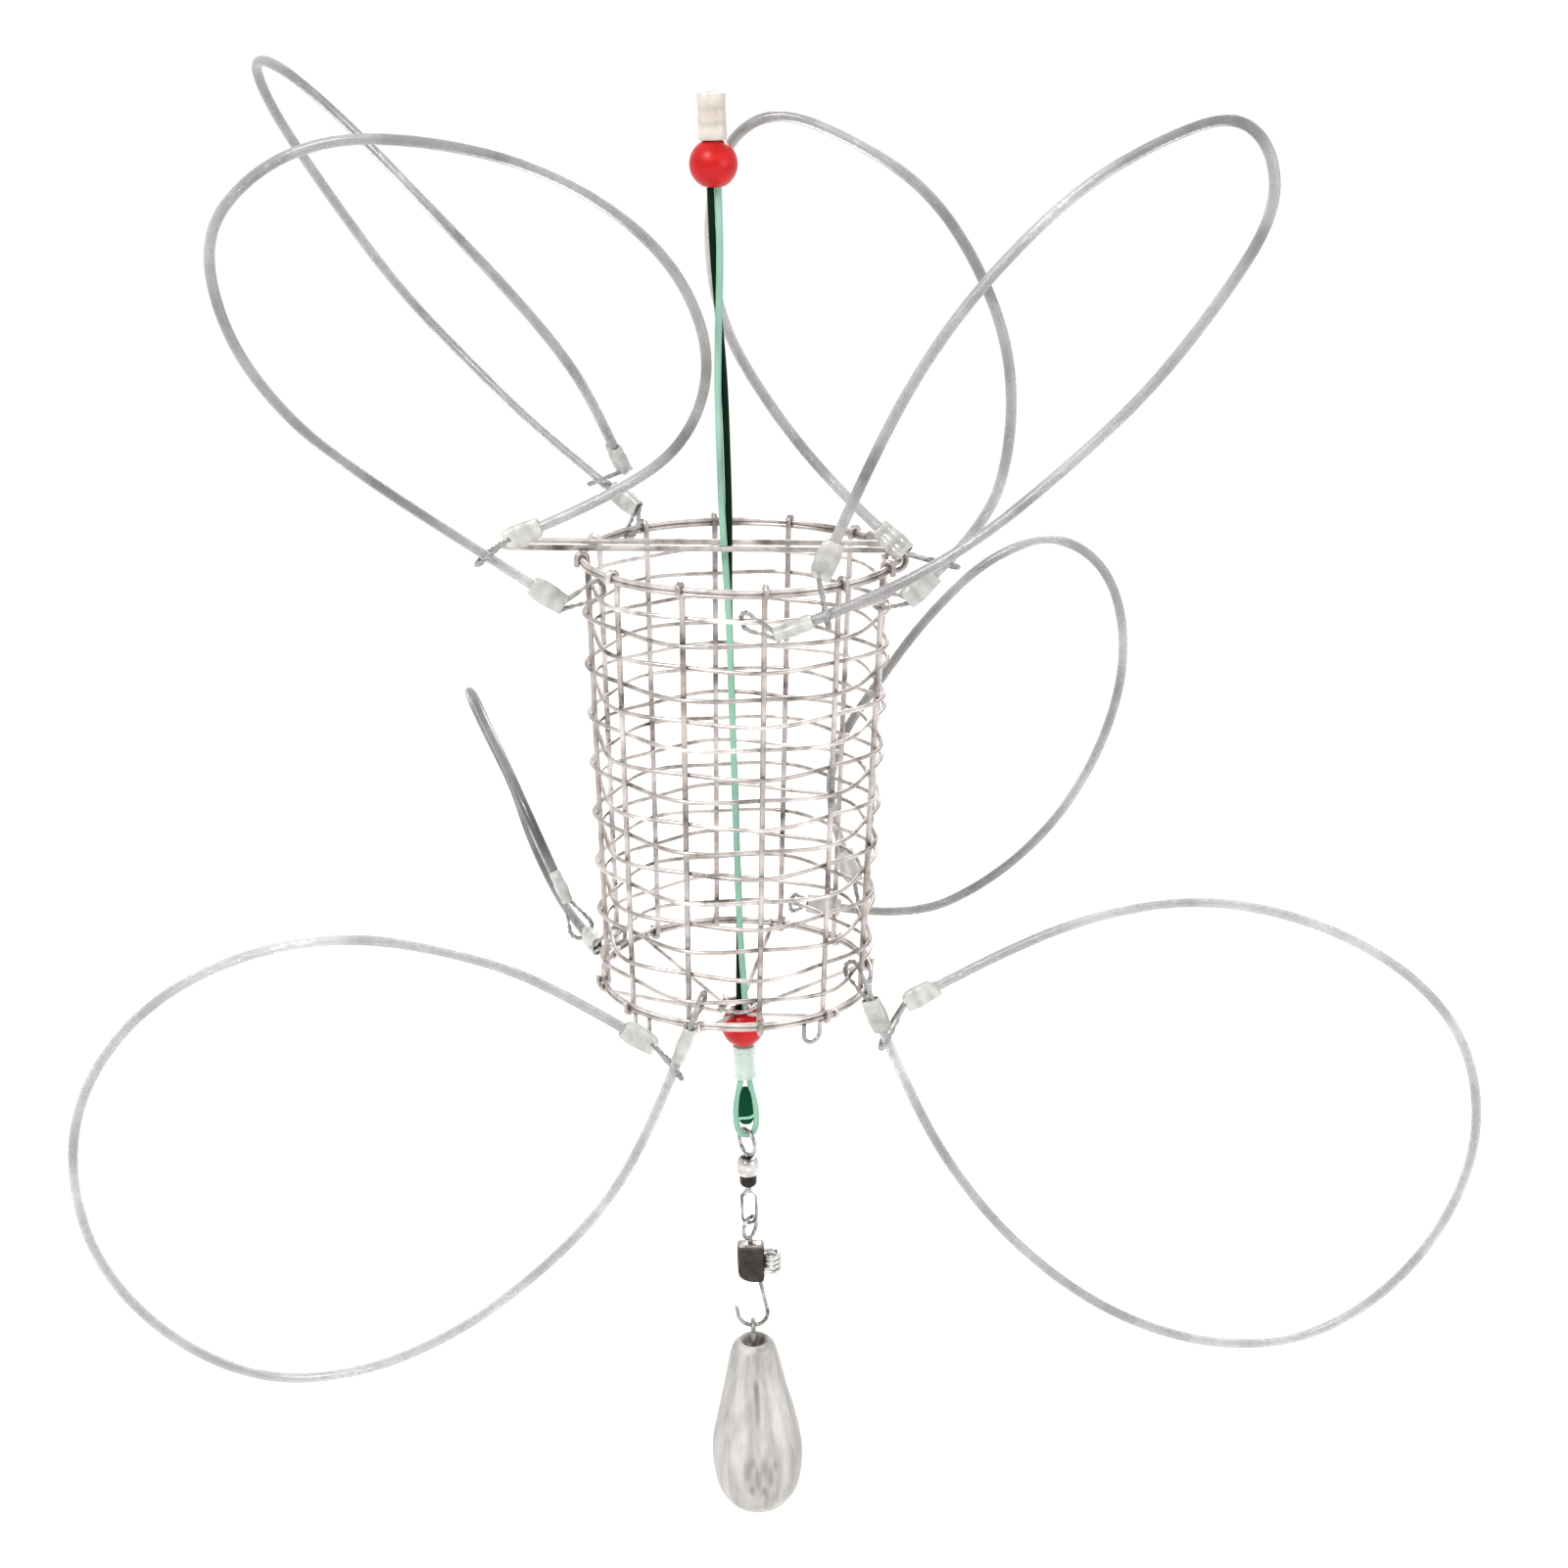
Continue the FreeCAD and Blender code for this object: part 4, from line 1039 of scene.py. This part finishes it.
def make_beads(looks):
    """Each bead is a ball with a rounded mouth at both ends of its hole."""
    for node in ("top_bead", "lower_bead"):
        low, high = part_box(node)
        centre = (low + high) / 2
        start = math.degrees(math.asin(BEAD_MOUTH[-1][0] / BEAD_R)) + 3
        steps = 30
        turns = [math.radians(start + (180 - 2 * start) * i / steps) for i in range(steps + 1)]
        ball = [(BEAD_R * math.sin(t), BEAD_R * math.cos(t)) for t in turns]
        mouth_low = [(r, -z) for r, z in reversed(BEAD_MOUTH)]
        outline = BEAD_MOUTH + ball + mouth_low
        # The tone paints shade down into the mouths of the hole.
        tones = [0.2, 0.5, 0.8, 1.0] + [1.0] * len(ball) + [1.0, 0.8, 0.5, 0.2]
        build = Build()
        add_loft(build, [oval(centre + Z * (z * MM), r * MM, r * MM, 72) for r, z in outline], tones)
        place_piece(build.finish(f"{node}_ball", looks["bead"], 60.0), node, "red_bead", node)


def make_ferrule(cage, looks):
    """The rim's ferrule: a straight pale tube over both rim wires, open at its ends."""
    low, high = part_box("rim_splice_ferrule")
    centre = (low + high) / 2
    out = centre - cage.top
    out = (out - cage.up * out.dot(cage.up)).normalized()
    along = cage.up.cross(out).normalized()
    half = 4.0 * MM
    # Share of the half length, radius in mm and tone; a low tone is painted shade, in the waists, at the lips
    # and in the bore.
    skin = [
        (-1.0, 1.35, 0.8), (-0.97, 1.52, 1.0), (-0.90, 1.6, 1.0), (-0.5, 1.58, 1.0), (-0.25, 1.5, 0.8),
        (0.0, 1.56, 1.0), (0.3, 1.5, 0.8), (0.55, 1.58, 1.0), (0.90, 1.6, 1.0), (0.97, 1.52, 1.0),
        (1.0, 1.35, 0.8), (1.0, 1.05, 0.2), (0.9, 1.0, 0.0), (0.0, 1.0, 0.0), (-0.9, 1.0, 0.0),
        (-1.0, 1.05, 0.2),
    ]
    rings = []
    for share, radius, _ in skin:
        ring = []
        for step in range(48):
            turn = 2 * math.pi * step / 48
            around = out * math.cos(turn) + cage.up * math.sin(turn)
            ring.append(centre + along * (half * share) + around * (radius * MM))
        rings.append(ring)
    build = Build()
    add_loft(build, rings, [tone for *_, tone in skin])
    place_piece(build.finish("rim_ferrule", looks["ferrule"]), "cage", "crimp_alloy", "rim_splice_ferrule")


def make_swivel_barrel(looks):
    """Its own bright nickel above its waist, with painted shade below the waist and in its bore."""
    outline = rounded([(r, z, 0.0) for r, z in BARREL_OUTLINE], 0.14, 3)
    build = Build()
    rings = [oval(Z * (z * MM), r * MM, r * MM) for r, z, _ in outline]
    add_loft(build, rings, [0.0 if z < BARREL_SHADE_Z or r < 1.2 else 1.0 for r, z, _ in outline])
    place_piece(build.finish("barrel", looks["barrel"]), "swivel_barrel", "swivel_metal", "swivel_barrel")


def add_post_ring(build, low, high, angle):
    """A ring at the top of a node's box, turned by angle degrees. Returns the height of its foot."""
    radius = (high.y - low.y) / 2 - FITTING_WIRE_R
    centre = Vector((0, 0, high.z - FITTING_WIRE_R - radius))
    way = Vector((math.sin(math.radians(angle)), math.cos(math.radians(angle)), 0))
    add_wire(build, arc(centre, way, Z, radius, 0, 360, 8)[:-1], FITTING_WIRE_R, 14, closed=True)
    return centre.z - radius


def make_ringed_posts(looks):
    """The swivel's upper eye and the snap's ring: each a ring turned a little from square, on its post."""
    top = Build()
    low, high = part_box("swivel_upper_eye")
    foot = add_post_ring(top, low, high, -RING_TURN)
    shelf = low.z + 0.8 * MM
    post = [
        (0.4, foot + 0.1 * MM), (0.62, foot - 0.15 * MM), (0.55, foot - 0.5 * MM), (0.55, shelf),
        (1.2, shelf), (1.25, low.z + 0.7 * MM), (1.25, low.z + 0.1 * MM), (1.15, low.z),
    ]
    add_loft(top, [oval(Z * z, r * MM, r * MM, 32) for r, z in post], [0.5] * len(post), closed=False)
    eye = top.finish("swivel_top_eye", looks["swivel"])
    place_piece(eye, "swivel_upper", "stainless_wire", "swivel_upper_eye")

    snap = Build()
    low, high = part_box("snap_ring")
    foot = add_post_ring(snap, low, high, RING_TURN)
    stem = [(0.4, foot), (0.4, low.z + 0.1 * MM), (0.3, low.z)]
    add_loft(snap, [oval(Z * z, r * MM, r * MM, 24) for r, z in stem], [0.5] * len(stem), closed=False)
    place_piece(snap.finish("snap_top_ring", looks["swivel"]), "snap", "stainless_wire", "snap_ring")


def make_liner(looks):
    """The dark plug in the line's eye, round at its ends, with a turn of the light line across it."""
    low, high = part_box("eye_liner")
    # The plug is wider than the liner and reaches below it, so its dark green also stands for painted shade
    # low in the eye.
    wide, deep = (high.x - low.x) / 2 * LINER_SHADE_SWELL, (high.y - low.y) / 2
    foot = low.z - 0.8 * MM
    skin = [
        (0.0, 0.25), (0.02, 0.55), (0.07, 0.8), (0.16, 0.94), (0.3, 1.0), (0.7, 1.02), (0.86, 0.95),
        (0.95, 0.78), (0.985, 0.5), (1.0, 0.2),
    ]
    rings = []
    for share, size in skin:
        rings.append(oval(Z * (high.z + (foot - high.z) * share), wide * size, deep * size, 40, 0.8))
    build = Build()
    add_loft(build, rings, [0.0] * len(rings), closed=False)
    cross = []
    for step in range(36):
        turn = 2 * math.pi * step / 36
        rise = 0.55 * MM * math.cos(turn) + 0.25 * MM * math.sin(2 * turn)
        height = low.z + 0.9 * MM + rise
        cross.append(Vector((wide * 1.10 * math.cos(turn), deep * 1.12 * math.sin(turn), height)))
    add_wire(build, cross, 0.26 * MM, 10, closed=True, tone=1.0)
    place_piece(build.finish("eye_plug", looks["liner"]), "line", "liner_green", "eye_liner")


def make_clasp(looks):
    """The folded clasp, its lower end drawn in round the hook, and the hook wire's spring coil."""
    build = Build()
    rings = [oval(Vector((x, 0, z)) * MM, wide * MM, deep * MM, 64, 0.42) for z, x, wide, deep in CLASP_SKIN]
    # The tone keeps the top face light and the sides dark, as light falling from above, and the inside
    # darkest, as painted shade.
    tones = [1.0, 1.0, 1.0, 0.35] + [0.12] * (CLASP_OUTER_RINGS - 4)
    tones += [0.0] * (len(rings) - CLASP_OUTER_RINGS)
    add_loft(build, rings, tones)
    place_piece(build.finish("clasp", looks["clasp"], 50.0), "snap", "clasp_metal", "snap_clasp")

    low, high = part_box("snap_coil")
    middle = (low + high) / 2
    radius = 1.3 * MM
    top, pitch = middle.z + 1.75 * MM, 1.0 * MM
    steps = 26
    wall = 2.2 * MM
    path = []
    for index in range(int(COIL_TURNS * steps) + 1):
        turn = math.pi * 0.5 - 2 * math.pi * index / steps
        drop = pitch * index / steps
        place = Vector((middle.x, middle.y, top - drop))
        path.append(place + X * (radius * math.cos(turn)) + Y * (radius * math.sin(turn)))
    lead_in = Vector((wall, path[0].y * 0.55, path[0].z + 0.1 * MM))
    lead_out = Vector((wall, path[-1].y * 0.55, path[-1].z - 0.1 * MM))
    build = Build()
    coil = [lead_in, lead_in.lerp(path[0], 0.5), *path, path[-1].lerp(lead_out, 0.5), lead_out]
    add_wire(build, coil, FITTING_WIRE_R, 14)
    place_piece(build.finish("hook_coil", looks["coil"]), "snap", "swivel_metal", "snap_coil")


def sinker_relief(azimuth, way, down, size, length):
    """How far the sinker's skin stands out from its outline at a place, and how much painted shade darkens it
    there.
    """
    side = math.radians(azimuth - GROOVE_AZIMUTH) * size
    groove = math.exp(-((side / (0.45 * MM)) ** 4) - ((down - 0.29) / 0.12) ** 6)
    push = -0.55 * MM * groove
    # Painted shade in the groove.
    dark = 0.55 * groove
    for dent_azimuth, dent_down, half_wide, half_high, deep in SINKER_DENTS:
        across = math.radians(azimuth - dent_azimuth) * size / (half_wide * MM)
        along = (down - dent_down) * length / (half_high * MM)
        dent = math.exp(-((across**2 + along**2) ** 2))
        push -= deep * MM * dent
        # Painted shade in the dent.
        dark += 0.42 * dent
    seam = min(abs(abs(azimuth) - 90), 20)
    push += 0.07 * MM * math.exp(-((math.radians(seam) * size / (0.25 * MM)) ** 2))
    fade = math.sin(math.pi * min(max(down, 0.0), 1.0))
    push += 0.28 * MM * fade * noise.noise(Vector((way.x * 1.6, way.y * 1.6, down * 4.2)))
    push += 0.05 * MM * fade * noise.noise(Vector((way.x * 9, way.y * 9, down * 11)))
    return push, dark


def make_sinker(looks):
    """The cast pear: a hollow round its eye, a groove and dents on its front, and a faint mould seam."""
    low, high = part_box("sinker_body")
    axis_x, axis_y = (low.x + high.x) / 2, (low.y + high.y) / 2
    length, radius = high.z - low.z, (high.y - low.y) / 2
    sides, rows = 120, 96
    tip = 0.02 * MM
    first = SINKER_OUTLINE[0][1] * radius
    # The hollow's radius as a share of the shoulder's, its depth and its tone, which is painted shade, darker
    # deeper in.
    hollow = [(0.0, 1.5, 0.0), (0.35, 1.5, 0.05), (0.55, 1.25, 0.1), (0.72, 0.7, 0.25), (0.85, 0.2, 0.7)]
    skin = [(max(first * share, tip), high.z - depth * MM, tone) for share, depth, tone in hollow]
    for row in range(rows + 1):
        down = row / rows
        skin.append((through(SINKER_OUTLINE, down) * radius, high.z - down * length, 1.0))
    skin.append((tip, low.z, 1.0))
    points, tones = [], []
    for size, z, tone in skin:
        for step in range(sides):
            azimuth = 360 * step / sides
            azimuth = azimuth - 360 if azimuth > 180 else azimuth
            turn = math.radians(azimuth)
            way = Vector((math.sin(turn), -math.cos(turn), 0.0))
            push, dark = 0.0, 0.0
            if size > 1.5 * MM and tone == 1.0:
                push, dark = sinker_relief(azimuth, way, (high.z - z) / length, size, length)
            points.append(Vector((axis_x, axis_y, z)) + way * (size + push))
            tones.append(max(tone - dark, 0.0))
    build = Build()
    build.add(points, grid_faces(len(skin), sides, False), tones)
    place_piece(build.finish("cast_pear", looks["lead"], 60.0), "sinker", "cast_lead", "sinker_body")


# ---------------------------------------------------------------- main


# The material of each of the frame's own nodes: by its slot, and apart from that by its name.
BY_SLOT = {
    "stainless_wire": "fitting_steel",
    "crimp_alloy": "crimp",
    "cable_jacket": "jacket",
    "green_line": "line",
    "liner_green": "liner",
    "clear_sleeve": "top_sleeve",
    "red_bead": "bead",
    "swivel_metal": "swivel",
    "clasp_metal": "clasp",
    "cast_lead": "lead",
}
BY_NODE = {"swivel_lower_eye": "swivel", "snap_hook": "swivel", "sinker_eye": "lead_eye"}


def make_looks():
    """Every material, by what it covers."""
    return {
        "steel": steel_material(
            "stainless_wire",
            (0.62, 0.60, 0.58),
            [(0.30, (0.14, 0.12, 0.11)), (0.44, (0.46, 0.415, 0.40)), (0.60, (0.74, 0.685, 0.665))],
        ),
        "fitting_steel": steel_material(
            "stainless_fitting",
            None,
            [(0.30, (0.10, 0.088, 0.08)), (0.44, (0.34, 0.31, 0.29)), (0.60, (0.54, 0.50, 0.475))],
        ),
        "strand": strand_material("strand_steel", 0.9, (0.30, 0.295, 0.29), (0.70, 0.69, 0.68), 0.18),
        "eye_strand": strand_material("eye_steel", 0.35, (0.20, 0.195, 0.19), (0.42, 0.41, 0.40), 0.45),
        "jacket": jacket_material(
            "clear_jacket", (0.23, 0.225, 0.22), (0.44, 0.43, 0.425), (0.61, 0.60, 0.595)
        ),
        # Shaded and lit copies of the one clear jacket: painted shade and painted light.
        "shaded_jacket": jacket_material(
            "shaded_jacket", (0.12, 0.118, 0.115), (0.28, 0.275, 0.27), (0.42, 0.415, 0.41)
        ),
        "lit_jacket": jacket_material(
            "lit_jacket", (0.37, 0.365, 0.36), (0.58, 0.57, 0.565), (0.76, 0.75, 0.745)
        ),
        "crimp": crimp_material(),
        "line": line_material("green_line", (0.001, 0.012, 0.005), (0.27, 0.47, 0.36)),
        "liner": line_material("liner_green", (0.0, 0.045, 0.018), (0.30, 0.56, 0.42)),
        "top_sleeve": sleeve_material("milky_sleeve", 0.15, (0.50, 0.43, 0.39), (0.64, 0.61, 0.55)),
        "clear_sleeve": sleeve_material("clear_sleeve", 0.45, (0.60, 0.70, 0.64), (0.80, 0.90, 0.84)),
        "bead": bead_material(),
        "lead": lead_material(),
        "ferrule": nickel_material(
            "ferrule_metal", (0.22, 0.205, 0.19), (0.46, 0.43, 0.41), 0.3, 0.5, (0.1, 0.1, 0.1)
        ),
        "swivel": nickel_material("swivel_metal", (0.10, 0.095, 0.09), (0.46, 0.44, 0.42), 0.14, 0.3, None),
        "barrel": nickel_material(
            "barrel_metal", (0.26, 0.25, 0.24), (0.68, 0.65, 0.62), 0.12, 0.3, (0.05, 0.045, 0.04)
        ),
        "coil": nickel_material(
            "coil_metal", (0.30, 0.29, 0.28), (0.66, 0.65, 0.63), 0.12, 0.26, (1.0, 1.0, 1.0)
        ),
        "clasp": nickel_material(
            "clasp_metal", (0.20, 0.165, 0.15), (0.44, 0.40, 0.37), 0.22, 0.42, (0.008, 0.005, 0.004)
        ),
        "lead_eye": nickel_material("cast_eye", (0.12, 0.115, 0.105), (0.44, 0.42, 0.39), 0.3, 0.5, None),
    }


def dress_frame(frame, looks):
    """Gives the frame's own nodes their materials."""
    slots = {part["node"]: part["material_slot"] for part in frame["record"]["subparts"]}
    for node, piece in frame["nodes"].items():
        piece.data.materials.clear()
        piece.data.materials.append(looks[BY_NODE.get(node, BY_SLOT[slots[node]])])


def main():
    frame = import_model()
    low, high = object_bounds()
    make_camera()
    looks = make_looks()
    hinges = {joint["child"]: joint for joint in frame["joints"]}
    for letter in SNARES:
        make_snare(letter, hinges[f"snare_{letter}"], looks)
    make_line(looks)
    make_cage(looks)
    make_sleeves(looks)
    make_beads(looks)
    make_liner(looks)
    make_ringed_posts(looks)
    make_swivel_barrel(looks)
    make_clasp(looks)
    make_sinker(looks)
    dress_frame(frame, looks)
    make_stage(low, high)


main()
